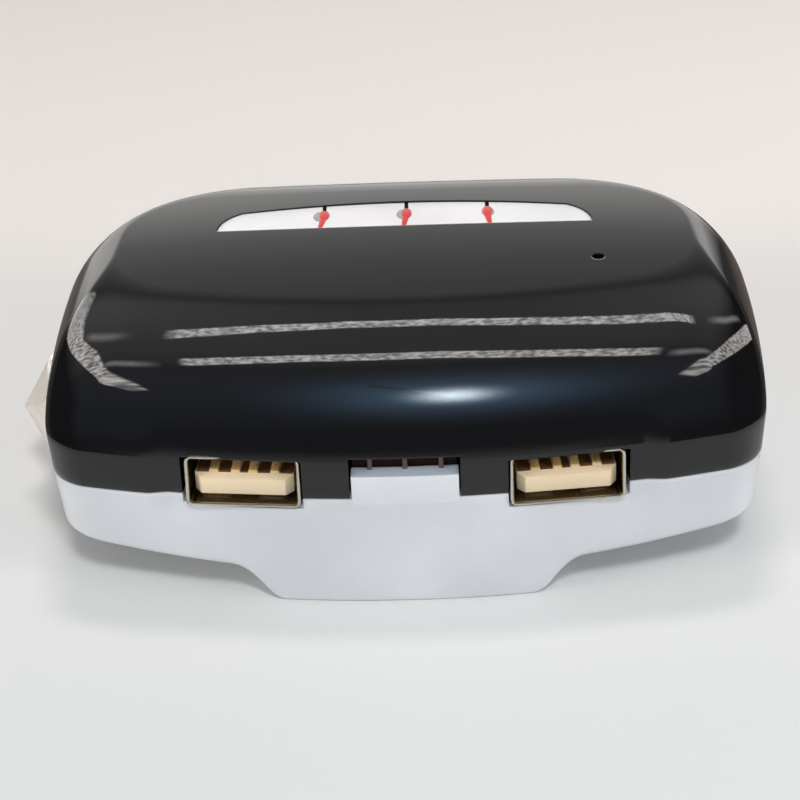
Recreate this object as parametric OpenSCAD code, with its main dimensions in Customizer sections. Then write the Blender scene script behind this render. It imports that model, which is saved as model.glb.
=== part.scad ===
// Car FM transmitter: a glossy cover over a white bottom shell, two USB charging sockets
// splayed along the bowed front, a half-moon window with three lights, and a 12 V plug
// that folds out of a tunnel in the underside. Millimetres, +Z up. The origin lies on the
// table under the middle of the whole object, and the sockets face -Y.

/* [Body] */
// Width of the body at its crease, where the sides bow out most
body_w = 85.2; // [80:0.2:92]
// How far the middle of each side stands out from its ends
side_bow = 2.4; // [0.4:0.1:3]
// Depth of the body from the middle of the front to the back
body_d = 64; // [62:0.5:70]
// Height of the top plane above the table
top_z = 26.8; // [26.4:0.1:29]
// Height of the crease above the upright fascia
crease_z = 19.2; // [19:0.1:20]
// Height of the seam between cover and bottom shell
seam_z = 14; // [13.4:0.1:14.6]
// Height of the underside of the wings in the middle
wing_z = 3.6; // [3:0.1:4.6]
// Rise of that underside towards both sides
wing_rise = 2.8; // [0.8:0.1:3.2]
// Wall of both shells
wall = 1.8; // [1.4:0.1:2]
// How far the cover's skirt draws in from the crease down to the seam
skirt_draft = 0.3; // [0.1:0.05:0.6]
// How far the middle of the front stands ahead of its ends, as a share of the depth
front_bulge_share = 0.0953125; // [0.0625:0.0015:0.117]
// How far the middle of the back stands behind its ends
back_bulge = 0.7; // [0.2:0.1:2]
// Radius of the two front corners at the crease
front_corner_r = 5.4; // [4:0.1:8]
// Radius of the two back corners at the crease, as a share of the depth
back_corner_share = 0.428125; // [0.375:0.003:0.453]

/* [Roll-off] */
// Depth of the long roll-off behind the crease of the front, as a share of the whole depth
front_roll_share = 0.390625; // [0.3125:0.005:0.421]
// Width of the roll-off at the sides
side_roll = 6; // [3:0.1:7]
// Depth of the roll-off at the back, as a share of the whole depth
back_roll_share = 0.1171875; // [0.078:0.0015:0.14]
// Lean of the front surface where it leaves the crease
crease_lean = 30; // [10:1:40]
// Fall of the top plane from its middle to its sides
crown = 0.3; // [0.1:0.05:0.8]
// Radius of the two front corners at the top plane, as a share of the depth
front_top_corner_share = 0.178125; // [0.125:0.003:0.193]
// Radius of the two back corners at the top plane, as a share of the depth
back_top_corner_share = 0.1703125; // [0.125:0.0015:0.185]

/* [Bottom shell] */
// How far the side walls draw in down to the wings
side_draft = 0.6; // [0.2:0.1:1.6]
// How far the front wall draws in down to the wings
front_draft = 0.1; // [0.1:0.1:0.8]
// Radius of the lower edge
edge_r = 0.9; // [0.6:0.1:1.2]
// Half width of the ridge at the table
ridge_half_w = 15.2; // [14.8:0.1:16.6]
// Width of each slope of the ridge
ridge_slope_w = 2.8; // [2:0.1:4]
// Fillet radius at the foot of the ridge
ridge_r = 3; // [1:0.1:3.4]

/* [Front panel] */
// Half width of the recessed middle of the front
panel_half_w = 28; // [27:0.1:30]
// Depth of that recess
panel_step = 0.7; // [0.2:0.1:1]
// Width over which the recess fades out
panel_blend = 3; // [2:0.1:4]
// Width of the slot over the white tab
slot_w = 12.5; // [10:0.1:13]
// Height of the slot's upper edge above the crease
slot_rise = 0.45; // [0.2:0.05:0.8]
// Height of the opening left over the tab
slot_h = 1.25; // [0.9:0.05:1.6]

/* [Sockets] */
// Width of a socket's metal shell
usb_w = 13.1; // [12.8:0.1:13.4]
// Height of a socket's metal shell
usb_h = 5.7; // [5.6:0.1:6]
// Length of a socket's metal shell, as a share of the body's depth
usb_len_share = 0.196875; // [0.172:0.0015:0.2]
// Sheet thickness of that shell
usb_sheet = 0.35; // [0.25:0.05:0.4]
// Distance of each socket from the middle
usb_x = 18.1; // [16.5:0.1:19]
// Outward turn of each socket
usb_splay = 5.8; // [3:0.1:7]
// How far a socket stands proud of the front
usb_proud = 0.8; // [0.4:0.1:1.2]
// Gap between the top of a socket and the crease
usb_drop = 0.35; // [0.25:0.05:0.6]

/* [Window and lights] */
// Half width of the half-moon window
window_half_w = 23.9; // [22:0.1:25]
// Height of the half-moon window in plan, as a share of the body's depth
window_h_share = 0.11328125; // [0.102:0.001:0.125]
// Distance from the back of the body to the window's arc, as a share of the depth
window_back_share = 0.1875; // [0.172:0.0015:0.218]
// Radius of the window's rounded ends, as a share of its height
window_end_share = 0.8276; // [0.7:0.01:0.88]
// How deep the window lies below the cover
window_sink = 0.7; // [0.4:0.05:1]
// Distance between the lights
led_pitch = 10.7; // [9:0.1:12]
// Diameter of a light's lens
led_d = 1.9; // [1.6:0.05:2.2]
// Distance of the pinhole from the middle
pinhole_x = 23.9; // [21:0.1:26]
// Distance of the pinhole behind the body's middle
pinhole_y = 2.3; // [0:0.1:6]
// Diameter of the pinhole
pinhole_d = 1.6; // [1:0.1:2]

/* [Folding plug] */
// Diameter of the plug's barrel
barrel_d = 20; // [19:0.1:20.6]
// Height of the stowed plug's axis above the table
plug_z = 10.5; // [10.4:0.1:11]
// Offset of the plug's axis behind the body's middle, as a share of the depth
plug_y_share = -0.034375; // [-0.0405:0.0005:-0.028]
// Distance from the pivot to the apex of the nose
plug_reach = 48.1; // [46:0.1:52]
// Diameter of the nose contact
tip_d = 13; // [11:0.1:13.4]
// Height of its cone
tip_cone_h = 3; // [2:0.1:4]
// Travel of the nose contact
tip_travel = 2.4; // [1.5:0.1:2.6]
// Travel of each side contact
earth_travel = 1.1; // [0.8:0.1:1.2]
// Outer diameter of the hollow hinge pin
pin_d = 5; // [4.6:0.1:5.4]

/* [Hidden] */

// Places that everything follows
over = 1;
half_w = body_w / 2 - side_bow;
front_y = -body_d / 2;
back_y = body_d / 2;
front_bulge = body_d * front_bulge_share;
front_roll = body_d * front_roll_share;
back_roll = body_d * back_roll_share;
back_corner_r = body_d * back_corner_share;
front_corner_top_r = body_d * front_top_corner_share;
back_corner_top_r = body_d * back_top_corner_share;
plug_y = body_d * plug_y_share;
seam_half_w = half_w - skirt_draft;
seam_back_y = back_y - skirt_draft;
round_fn = 48;
arc_fn = 240;

// Whole object: the plug's nose widens the box to the left, the sockets to the front
centre_x = (plug_reach - body_w / 2) / 2;
socket_lead = sin(usb_splay) * usb_w / 2 + usb_proud - front_bulge * pow(usb_x / seam_half_w, 2);
centre_y = max(0, socket_lead) / 2;

// Counts along half of a plan ring
panel_steps = 7;
blend_steps = 4;
outer_steps = 4;
corner_steps = 5;
side_steps = 5;
back_corner_steps = 9;
back_steps = 4;
roll_steps = 7;
edge_steps = 3;
cap_shares = [0.72, 0.42];
panel_fade_share = 0.33;

// One plan ring: [z, half width, front y, back y, bulge, front radius, back radius, step, arch]
function ease(t) = let(u = min(1, max(0, t))) u * u * (3 - 2 * u);
function front_line(x, r) =
    r[2] + r[4] * pow(x / r[1], 2) - r[7] * ease((x - panel_half_w) / panel_blend + 1 / 2);
function back_line(x, r) = r[3] - back_bulge * pow(x / r[1], 2);

function corner_turn(r) = atan(2 * r[4] * (r[1] - r[5]) / pow(r[1], 2));
function front_run(r) = r[1] - r[5] * (1 - sin(corner_turn(r)));
function half_ring(r) = let(
    w = r[1],
    turn = corner_turn(r),
    x_end = front_run(r),
    y_mid = front_line(x_end, r) + r[5] * cos(turn),
    squeeze = min(1, x_end / front_run([0, half_w, 0, 0, front_bulge, front_corner_r])),
    panel_x = (panel_half_w - panel_blend / 2) * squeeze,
    blend_x = (panel_half_w + panel_blend / 2) * squeeze,
    back_turn = atan(2 * back_bulge * (w - r[6]) / pow(w, 2)),
    x_back = w - r[6] * (1 - sin(back_turn)),
    y_back = back_line(x_back, r) - r[6] * cos(back_turn)
) concat(
    [for (i = [0:panel_steps - 1]) let(x = panel_x * i / panel_steps) [x, front_line(x, r)]],
    [for (i = [0:blend_steps - 1]) let(x = panel_x + (blend_x - panel_x) * i / blend_steps)
        [x, front_line(x, r)]],
    [for (i = [0:outer_steps - 1]) let(x = blend_x + (x_end - blend_x) * i / outer_steps) [x, front_line(x, r)]],
    [for (i = [0:corner_steps]) let(a = (turn - 90) * (1 - i / corner_steps))
        [w - r[5] + r[5] * cos(a), y_mid + r[5] * sin(a)]],
    [for (i = [1:side_steps]) [w, y_mid + (y_back - y_mid) * i / (side_steps + 1)]],
    [for (i = [0:back_corner_steps]) let(a = (90 - back_turn) * i / back_corner_steps)
        [w - r[6] + r[6] * cos(a), y_back + r[6] * sin(a)]],
    [for (i = [1:back_steps]) let(x = x_back * (1 - i / back_steps)) [x, back_line(x, r)]]
);

// The whole ring in plan, counter-clockwise from the middle of the front, with its sides bowed out
function bowed(p) = [p[0] * (1 + side_bow / half_w * (1 - pow(p[1] / back_y, 2))), p[1]];
function plan_ring(r) = let(h = [for (p = half_ring(r)) bowed(p)], n = len(h))
    concat(h, [for (i = [n - 2:-1:1]) [-h[i][0], h[i][1]]]);

// The ring in space, with its arch, and the shrunken rings that close a cap
function space_ring(r) =
    [for (p = plan_ring(r)) [p[0], p[1], r[0] + r[8] * pow(p[0] / half_w, 2)]];
function cap_ring(r, share) = let(cy = (r[2] + r[3]) / 2)
    [for (p = plan_ring(r)) let(x = p[0] * share)
        [x, cy + (p[1] - cy) * share, r[0] + r[8] * pow(x / half_w, 2)]];
function cap_point(r) = [0, (r[2] + r[3]) / 2, r[0]];

// Closed skin through a stack of rings, with a point at both ends
module skin(first, rings, last) {
    n = len(rings[0]);
    m = len(rings);
    points = concat([first], [for (ring = rings) each ring], [last]);
    bottom = [for (i = [0:n - 1]) [0, 1 + (i + 1) % n, 1 + i]];
    sides = [for (j = [0:m - 2]) for (i = [0:n - 1]) let(
        a = 1 + j * n + i,
        b = 1 + j * n + (i + 1) % n
    ) each [[a, b, b + n], [a, b + n, a + n]]];
    top = [for (i = [0:n - 1]) [1 + (m - 1) * n + i, 1 + (m - 1) * n + (i + 1) % n, 1 + m * n]];
    polyhedron(points = points, faces = [for (f = concat(bottom, sides, top)) [f[2], f[1], f[0]]]);
}

// Rings of the cover, drawn in by t of wall
function roll_in(a, lean) = (cos(lean) - cos(a)) / cos(lean);
function roll_up(a, lean) = (sin(a) - sin(lean)) / (1 - sin(lean));
function cover_ring(share, t) = let(
    a = crease_lean + (90 - crease_lean) * share,
    in = roll_in(a, crease_lean),
    up = roll_up(a, crease_lean),
    side_in = 1 - cos(90 * share),
    z = crease_z + (top_z - t - crease_z) * up
) [
    z,
    half_w - t - side_roll * side_in,
    front_y + t + front_roll * in,
    back_y - t - back_roll * side_in,
    front_bulge,
    front_corner_r + (front_corner_top_r - front_corner_r) * in,
    back_corner_r + (back_corner_top_r - back_corner_r) * side_in,
    panel_step * max(0, 1 - up / panel_fade_share),
    -crown * up
];
function wall_ring(z, t) = [
    z, seam_half_w - t, front_y + t, seam_back_y - t, front_bulge, front_corner_r, back_corner_r,
    panel_step, 0
];

// Rings of the bottom shell, drawn in by t of wall
function draft_ring(z, share, t, lift, arch) = [
    z,
    seam_half_w - t - side_draft * share - lift,
    front_y + t + front_draft * share + lift,
    seam_back_y - t - side_draft * share - lift,
    front_bulge, front_corner_r, back_corner_r, panel_step * (1 - share), arch
];
function edge_ring(i, t) = let(a = 90 * i / edge_steps)
    draft_ring(wing_z + t + edge_r * (1 - sin(a)), 1, t, edge_r * (1 - cos(a)), wing_rise);

module placed() {
    translate([centre_x, centre_y, 0]) children();
}

module box(low, high) {
    translate(low) cube(high - low);
}

// Rounded rectangle about the origin
module round_rect(w, h, r) {
    square([w - 2 * r, h], center = true);
    square([w, h - 2 * r], center = true);
    for (x = [-1, 1]) for (y = [-1, 1])
        translate([x * (w / 2 - r), y * (h / 2 - r)]) circle(r = r, $fn = round_fn);
}

// Solid rod between two heights
module rod(x, y, z0, z1, d) {
    translate([x, y, z0]) cylinder(h = z1 - z0, d = d, $fn = round_fn);
}

// Plug tunnel: clearances, walls and the pocket round the knuckle
tunnel_side_gap = 1.7;
tunnel_top_gap = 0.9;
tunnel_wall = 1.5;
tunnel_corner_r = 6;
tunnel_mouth_inset = 3.4;
tunnel_half_w = barrel_d / 2 + tunnel_side_gap;
tunnel_top = plug_z + barrel_d / 2 + tunnel_top_gap;
pocket_r = barrel_d / 2 + tunnel_top_gap;
tunnel_front_y = plug_y - tunnel_half_w - tunnel_wall;
tunnel_back_y = plug_y + tunnel_half_w + tunnel_wall;

// Cross-section of the tunnel, grown by g, down to height low
module tunnel_section(g, low) {
    w = 2 * (tunnel_half_w + g);
    h = tunnel_top + g - low;
    r = tunnel_corner_r + g;
    translate([0, low + h / 2]) {
        translate([0, -r / 2]) square([w, h - r], center = true);
        translate([0, h / 2 - r / 2]) square([w - 2 * r, r], center = true);
        for (x = [-1, 1]) translate([x * (w / 2 - r), h / 2 - r]) circle(r = r, $fn = round_fn);
    }
}

module tunnel_run(g, low, x0, x1) {
    translate([x0, plug_y, 0]) rotate([90, 0, 90]) linear_extrude(x1 - x0) tunnel_section(g, low);
}

module tunnel_pocket(g, low) {
    y0 = plug_y - tunnel_half_w - g;
    y1 = plug_y + tunnel_half_w + g;
    intersection() {
        union() {
            translate([0, y1, plug_z]) rotate([90, 0, 0])
                cylinder(h = y1 - y0, r = pocket_r + g, $fn = arc_fn);
            box([0, y0, low], [pocket_r + g, y1, plug_z]);
        }
        tunnel_run(g, low, -over, pocket_r + g + over);
    }
}

// Sockets: place and opening
usb_z = crease_z - usb_drop - usb_h / 2;
usb_gap = 0.2;
usb_notch_gap = 0.55;
usb_corner_r = 0.8;
usb_len = body_d * usb_len_share;
front_shape = wall_ring(seam_z, 0);
usb_y = front_line(usb_x, front_shape) - usb_proud;
board_top = usb_z - usb_h / 2;
board_t = 1.4;
board_under = board_top - board_t;

module at_socket(side) {
    translate([side * usb_x, usb_y, usb_z]) rotate([0, 0, side * usb_splay]) children();
}

// Opening for one socket: the outer side is cut wider, as the cover shows
module socket_cut(side, depth) {
    at_socket(side) {
        low_x = -usb_w / 2 - (side < 0 ? usb_notch_gap : usb_gap);
        high_x = usb_w / 2 + (side > 0 ? usb_notch_gap : usb_gap);
        box([low_x, -usb_proud - over, -usb_h / 2 - usb_gap], [high_x, depth, usb_h / 2 + usb_gap]);
    }
}

// Screw bosses that clamp the board between the shells
boss_front_inset = 7.5;
boss_front_share = 0.277;
boss_back_inset = 12;
boss_back_share = 0.381;
boss_front_x = half_w - boss_front_inset;
boss_front_y = tunnel_front_y + (front_y - tunnel_front_y) * boss_front_share;
boss_back_x = half_w - boss_back_inset;
boss_back_y = tunnel_back_y + (back_y - tunnel_back_y) * boss_back_share;
boss_d = 6;
boss_foot_d = 7;
screw_d = 2;
screw_hole_d = 2.4;
pilot_d = 2.1;
screw_head_d = 4.4;
screw_head_h = 1.5;
head_seat_z = wing_z + wing_rise + screw_head_h / 2;
head_bore_d = 5;
screw_reach = 7;
screw_top = board_top + screw_reach;
pilot_rest = 0.6;
boss_rest = 0.3;
boss_places = [
    [-boss_front_x, boss_front_y], [boss_front_x, boss_front_y],
    [-boss_back_x, boss_back_y], [boss_back_x, boss_back_y]
];

// Half-moon window in plan, grown by g
window_h = body_d * window_h_share;
window_end_r = window_h * window_end_share;
window_top_y = back_y - body_d * window_back_share;
window_low_y = window_top_y - window_h;
window_core = window_half_w - window_end_r;
window_shoulder = 1.5;
window_arc_r = (pow(window_core, 2) + pow(window_shoulder, 2)) / (2 * window_shoulder);

module window_shape(g) {
    intersection() {
        translate([0, window_top_y - window_arc_r]) circle(r = window_arc_r + g, $fn = 2 * arc_fn);
        union() {
            translate([-window_core, window_low_y - g])
                square([2 * window_core, window_h + 2 * g]);
            intersection() {
                for (x = [-1, 1]) translate([x * window_core, window_low_y])
                    circle(r = window_end_r + g, $fn = 2 * round_fn);
                translate([-window_half_w - g, window_low_y - g])
                    square([2 * (window_half_w + g), window_h + 2 * g]);
            }
        }
    }
}

// Glossy cover: one lofted skin, the seam ring below and the crown above
lip_gap = 0.15;
lip_t = 0.8;
lip_h = 1.2;
slot_top = crease_z + slot_rise;
tab_top = slot_top - slot_h;
tab_w = slot_w - 2 * usb_gap;
cover_cut_depth = 4;
tunnel_mouth_x = -(body_w / 2 - tunnel_mouth_inset);

// Everything under the middle of the cover's wall
module under_cover() {
    mid = [for (i = [0:roll_steps]) cover_ring(i / roll_steps, wall / 2)];
    skin(
        [0, 0, board_under],
        concat(
            [space_ring(wall_ring(board_under, wall / 2))],
            [for (ring = mid) space_ring(ring)],
            [for (share = cap_shares) cap_ring(mid[roll_steps], share)]
        ),
        cap_point(mid[roll_steps])
    );
}

module top_cover() {
    outer = [for (i = [0:roll_steps]) cover_ring(i / roll_steps, 0)];
    inner = [for (i = [0:roll_steps]) cover_ring(i / roll_steps, wall)];
    last = roll_steps;
    ceiling = top_z - wall;
    color("#15171b") placed() {
        difference() {
            union() {
                skin(
                    cap_point(inner[last]),
                    concat(
                        [for (i = [len(cap_shares) - 1:-1:0]) cap_ring(inner[last], cap_shares[i])],
                        [for (i = [last:-1:0]) space_ring(inner[i])],
                        [space_ring(wall_ring(seam_z, wall)), space_ring(wall_ring(seam_z, 0))],
                        [for (i = [0:last]) space_ring(outer[i])],
                        [for (s = cap_shares) cap_ring(outer[last], s)]
                    ),
                    cap_point(outer[last])
                );
                intersection() {
                    for (p = boss_places) rod(p[0], p[1], board_top, top_z, boss_d);
                    under_cover();
                }
            }
            for (side = [-1, 1]) socket_cut(side, cover_cut_depth);
            box([-slot_w / 2, front_y - over, seam_z - over], [slot_w / 2, front_y + cover_cut_depth, slot_top]);
            tunnel_run(0, seam_z - over, -body_w / 2 - over, tunnel_mouth_x + over);
            translate([0, 0, ceiling - over]) linear_extrude(wall + 2 * over) window_shape(0);
            rod(pinhole_x, pinhole_y, ceiling - over, top_z + over, pinhole_d);
            for (p = boss_places) rod(p[0], p[1], board_top - over, screw_top + pilot_rest, pilot_d);
        }
    }
}

// White bottom shell: lofted tub, ridge, plug tunnel, bosses, tab and lip
ridge_pocket_floor = 1.8;
ridge_pocket_wall = 2.4;
rib_w = 0.5;
rib_pitch = 4;
rib_back = 0.5;
tab_bevel = 1.3;
tab_bevel_depth = 0.6;
tab_back = 1.6;
saddle_step = 0.45;
saddle_depth = 0.5;

// Section of the ridge, with a fillet at each foot
module ridge_section() {
    rise = wing_z + wall / 2;
    top_w = ridge_half_w + ridge_slope_w * rise / wing_z;
    lean = atan(ridge_slope_w / wing_z);
    foot_x = ridge_half_w - ridge_r * tan((90 - lean) / 2);
    steps = 6;
    arc = [for (i = [0:steps]) let(a = -90 + (90 - lean) * i / steps)
        [foot_x + ridge_r * cos(a), ridge_r + ridge_r * sin(a)]];
    side = concat(arc, [[top_w, rise]]);
    n = len(side);
    polygon(concat(side, [for (i = [n - 1:-1:0]) [-side[i][0], side[i][1]]]));
}

module ridge() {
    intersection() {
        translate([0, back_y, 0]) rotate([90, 0, 0]) linear_extrude(body_d) ridge_section();
        linear_extrude(wing_z + wall) polygon(plan_ring(draft_ring(0, 1, 0, 0, 0)));
    }
}

// The tab that fills the slot, with its bevel and three ribs
module slot_tab() {
    y0 = front_y;
    translate([-tab_w / 2, 0, 0]) rotate([90, 0, 90]) linear_extrude(tab_w) polygon([
        [y0, seam_z - over], [y0, tab_top - tab_bevel], [y0 + tab_bevel_depth, tab_top],
        [y0 + tab_back, tab_top], [y0 + tab_back, seam_z - over]
    ]);
    for (i = [-1:1]) box(
        [i * rib_pitch - rib_w / 2, y0 + tab_bevel_depth + rib_back, tab_top - rib_back],
        [i * rib_pitch + rib_w / 2, y0 + tab_back, slot_top - lip_gap]
    );
}

// Band that follows the wall, from one inset to the inner face of the lip
module lip_band(inset, z1) {
    z0 = seam_z - wall;
    translate([0, 0, z0]) linear_extrude(z1 - z0) difference() {
        polygon(plan_ring(wall_ring(0, inset)));
        polygon(plan_ring(wall_ring(0, wall + lip_gap + lip_t)));
    }
}

// Locating lip inside the cover's wall, with its root in the shell's wall
module seam_lip() {
    difference() {
        union() {
            lip_band(wall / 2, seam_z - lip_gap);
            lip_band(wall + lip_gap, seam_z + lip_h);
        }
        for (p = boss_places)
            rod(p[0], p[1], board_top - boss_rest, seam_z + lip_h + over, boss_d + 2 * boss_rest);
        for (side = [-1, 1]) socket_cut(side, usb_len);
        box([-slot_w / 2, front_y, seam_z], [slot_w / 2, front_y + cover_cut_depth, slot_top]);
    }
}

module bottom_shell() {
    inset_shares = [0, 1 / 2];
    z_low = wing_z + edge_r;
    levels = [for (s = inset_shares) seam_z - (seam_z - z_low) * s];
    inner_low = z_low + wall;
    color("#dfe1e6") placed() {
        difference() {
            union() {
                skin(
                    cap_point(edge_ring(0, 0)) - [0, 0, edge_r],
                    concat(
                        [for (i = [len(cap_shares) - 1:-1:0])
                            cap_ring(draft_ring(wing_z, 1, 0, edge_r, wing_rise), cap_shares[i])],
                        [for (i = [edge_steps:-1:0]) space_ring(edge_ring(i, 0))],
                        [for (i = [1:-1:0]) space_ring(draft_ring(levels[i], inset_shares[i], 0, 0,
                            wing_rise * inset_shares[i]))],
                        [space_ring(wall_ring(seam_z, wall))],
                        [space_ring(draft_ring(inner_low, 1, wall, 0, wing_rise))],
                        [space_ring(draft_ring(wing_z + wall, 1, wall, edge_r, wing_rise))],
                        [for (s = cap_shares) cap_ring(draft_ring(wing_z + wall, 1, wall, edge_r, wing_rise), s)]
                    ),
                    [0, 0, wing_z + wall]
                );
                ridge();
                intersection() {
                    tunnel_run(tunnel_wall, wing_z + wall / 2, tunnel_mouth_x, 0);
                    linear_extrude(top_z) polygon(plan_ring(wall_ring(0, wall + boss_rest)));
                }
                tunnel_pocket(tunnel_wall, wing_z + wall / 2);
                for (p = boss_places) rod(p[0], p[1], wing_z + wall, board_under, boss_foot_d);
                seam_lip();
                slot_tab();
            }
            tunnel_run(0, -over, -body_w / 2 - over, 0);
            tunnel_pocket(0, -over);
            for (y = [front_y + wall + front_draft, tunnel_back_y]) let(
                deep = y < 0 ? tunnel_front_y - y : seam_back_y - 2 * wall - side_draft - y
            ) box(
                [-ridge_half_w + ridge_pocket_wall, y, ridge_pocket_floor],
                [ridge_half_w - ridge_pocket_wall, y + deep, wing_z + 2 * wall]
            );
            for (p = boss_places) {
                rod(p[0], p[1], 0, board_under + over, screw_hole_d);
                rod(p[0], p[1], 0, head_seat_z, head_bore_d);
            }
            for (side = [-1, 1]) socket_cut(side, cover_cut_depth);
            for (side = [-1, 1]) at_socket(side) box(
                [-usb_w / 2 - usb_gap, -usb_proud - over, -usb_h / 2 - saddle_step],
                [usb_w / 2 + usb_gap, usb_proud + saddle_depth, 0]
            );
            translate([0, tunnel_back_y + over, plug_z]) rotate([90, 0, 0])
                cylinder(h = 2 * (tunnel_half_w + tunnel_wall + over), d = pin_bore_d, $fn = round_fn);
        }
    }
}

// White diffuser behind the half-moon opening
window_gap = 0.12;
window_t = 1.1;
window_lip = 1.6;
window_lip_t = 0.9;
window_play = 0.03;
window_seat_gap = window_play + crown * pow((window_half_w + window_lip) / half_w, 2);
window_z = top_z - window_sink - crown / 2;
led_hole_gap = 0.1;
led_slit_w = 0.45;
led_y = (window_top_y + window_low_y) / 2;

module indicator_window() {
    lip_top = top_z - wall - window_seat_gap;
    color("#eef0f4") placed() difference() {
        union() {
            translate([0, 0, lip_top - window_lip_t / 2]) linear_extrude(window_z - lip_top + window_lip_t / 2)
                window_shape(-window_gap);
            translate([0, 0, lip_top - window_lip_t]) linear_extrude(window_lip_t) window_shape(window_lip);
        }
        for (i = [-1:1]) {
            rod(i * led_pitch, led_y, lip_top - window_lip_t - over, window_z + over, led_d + 2 * led_hole_gap);
            box(
                [i * led_pitch - led_slit_w / 2, window_low_y + window_gap, window_z - window_t / 2],
                [i * led_pitch + led_slit_w / 2, window_top_y + over, window_z + over]
            );
        }
    }
}

// Lights on long legs: lens with a dome, flange and two legs
led_flange_d = 2.4;
led_flange_t = 0.4;
led_flange_drop = 3.2;
led_leg_w = 0.45;
led_leg_pitch = 1.27;
led_proud = 0.35;

module led(x, y, top) {
    flange_z = top - led_flange_drop;
    rod(x, y, flange_z, top - led_d / 2, led_d);
    translate([x, y, top - led_d / 2]) intersection() {
        sphere(d = led_d, $fn = round_fn);
        translate([0, 0, led_d / 2]) cube(led_d, center = true);
    }
    rod(x, y, flange_z - led_flange_t, flange_z, led_flange_d);
    for (side = [-1, 1]) box(
        [x + (side * led_leg_pitch - led_leg_w) / 2, y - led_leg_w / 2, board_top],
        [x + (side * led_leg_pitch + led_leg_w) / 2, y + led_leg_w / 2, flange_z - led_flange_t]
    );
}

module indicator_led(i) {
    color("#d8342a") placed() led(i * led_pitch, led_y, window_z + led_proud);
}

module led_left() {
    indicator_led(-1);
}

module led_middle() {
    indicator_led(0);
}

module led_right() {
    indicator_led(1);
}

module status_led() {
    color("#c9d2d8") placed() led(pinhole_x, pinhole_y, top_z - wall - window_seat_gap);
}

// Dark strip and remote-control receiver behind the slot
ir_gap = 0.1;
ir_t = 0.9;
ir_side = 0.4;

module ir_window() {
    y0 = front_y + tab_back + ir_gap;
    color("#3a1512") placed()
        box([-slot_w / 2 + ir_side, y0, seam_z], [slot_w / 2 - ir_side, y0 + ir_t, slot_top - ir_gap]);
}

receiver_w = 5.6;
receiver_d = 2.4;
receiver_h = 5;
receiver_lens_r = 1.3;
receiver_gap = 1.6;

module ir_receiver() {
    y0 = front_y + tab_back + ir_t + receiver_gap;
    color("#26262a") placed() {
        box([-receiver_w / 2, y0, board_top], [receiver_w / 2, y0 + receiver_d, board_top + receiver_h]);
        translate([0, y0, board_top + receiver_h - receiver_lens_r - ir_gap])
            sphere(r = receiver_lens_r, $fn = round_fn);
    }
}

// Metal shell of one socket, with spring windows in its floor and roof
usb_window_w = 2.4;
usb_window_len = 3.4;
usb_window_x = 3.4;
usb_window_y = 1.6;

module usb_shell(side) {
    color("#c9c2b4") placed() at_socket(side) difference() {
        rotate([-90, 0, 0]) linear_extrude(usb_len) difference() {
            round_rect(usb_w, usb_h, usb_corner_r);
            round_rect(usb_w - 2 * usb_sheet, usb_h - 2 * usb_sheet, usb_corner_r - usb_sheet);
        }
        for (x = [-1, 1]) box(
            [x * usb_window_x - usb_window_w / 2, usb_window_y, -usb_h],
            [x * usb_window_x + usb_window_w / 2, usb_window_y + usb_window_len, usb_h]
        );
    }
}

module usb_shell_left() {
    usb_shell(-1);
}

module usb_shell_right() {
    usb_shell(1);
}

// Plastic tongue and the block that carries it
tongue_side_gap = 0.55;
tongue_w = usb_w - 2 * (usb_sheet + tongue_side_gap);
tongue_t = 1.9;
tongue_recess = 1;
tongue_drop = 1.15;
tongue_chamfer = 0.7;
tongue_end = 0.9;
block_depth = 8.4;
block_gap = 0.1;

module usb_tongue(side) {
    inner_w = usb_w - 2 * (usb_sheet + block_gap);
    inner_h = usb_h - 2 * (usb_sheet + block_gap);
    low = -tongue_drop - tongue_t / 2;
    high = -tongue_drop + tongue_t / 2;
    color("#e3d3ae") placed() at_socket(side) {
        intersection() {
            translate([-tongue_w / 2, 0, 0]) rotate([90, 0, 90]) linear_extrude(tongue_w) polygon([
                [tongue_recess, low], [block_depth, low], [block_depth, high],
                [tongue_recess + tongue_chamfer, high], [tongue_recess, high - tongue_chamfer]
            ]);
            translate([0, 0, low - over]) linear_extrude(tongue_t + 2 * over) polygon([
                [-tongue_w / 2, block_depth], [-tongue_w / 2, tongue_recess + tongue_end],
                [-tongue_w / 2 + tongue_end / 2, tongue_recess], [tongue_w / 2 - tongue_end / 2, tongue_recess],
                [tongue_w / 2, tongue_recess + tongue_end], [tongue_w / 2, block_depth]
            ]);
        }
        translate([0, block_depth, 0]) rotate([-90, 0, 0]) linear_extrude(usb_len - block_depth)
            round_rect(inner_w, inner_h, usb_corner_r - usb_sheet);
    }
}

module usb_tongue_left() {
    usb_tongue(-1);
}

module usb_tongue_right() {
    usb_tongue(1);
}

// Four sprung contacts on the tongue
contact_w = 1;
contact_t = 0.25;
contact_bow = 0.55;
contact_inner_x = 1;
contact_outer_x = 3.5;
contact_front = 3.2;
contact_bow_y = 4.6;
contact_flat_y = 6.6;

module usb_contacts(side) {
    z0 = -tongue_drop + tongue_t / 2;
    color("#caa24a") placed() at_socket(side)
        for (x = [-contact_outer_x, -contact_inner_x, contact_inner_x, contact_outer_x])
            translate([x - contact_w / 2, 0, 0]) rotate([90, 0, 90]) linear_extrude(contact_w) polygon([
                [contact_front, z0], [contact_bow_y, z0 + contact_bow - contact_t],
                [contact_flat_y, z0], [block_depth, z0], [block_depth, z0 + contact_t],
                [contact_flat_y, z0 + contact_t], [contact_bow_y, z0 + contact_bow],
                [contact_front, z0 + contact_t]
            ]);
}

module usb_contacts_left() {
    usb_contacts(-1);
}

module usb_contacts_right() {
    usb_contacts(1);
}

// Main board: a C round the tunnel
board_gap = 0.7;
board_edge = wall + lip_gap + lip_t + board_gap;
board_tunnel_gap = 0.5;

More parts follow.
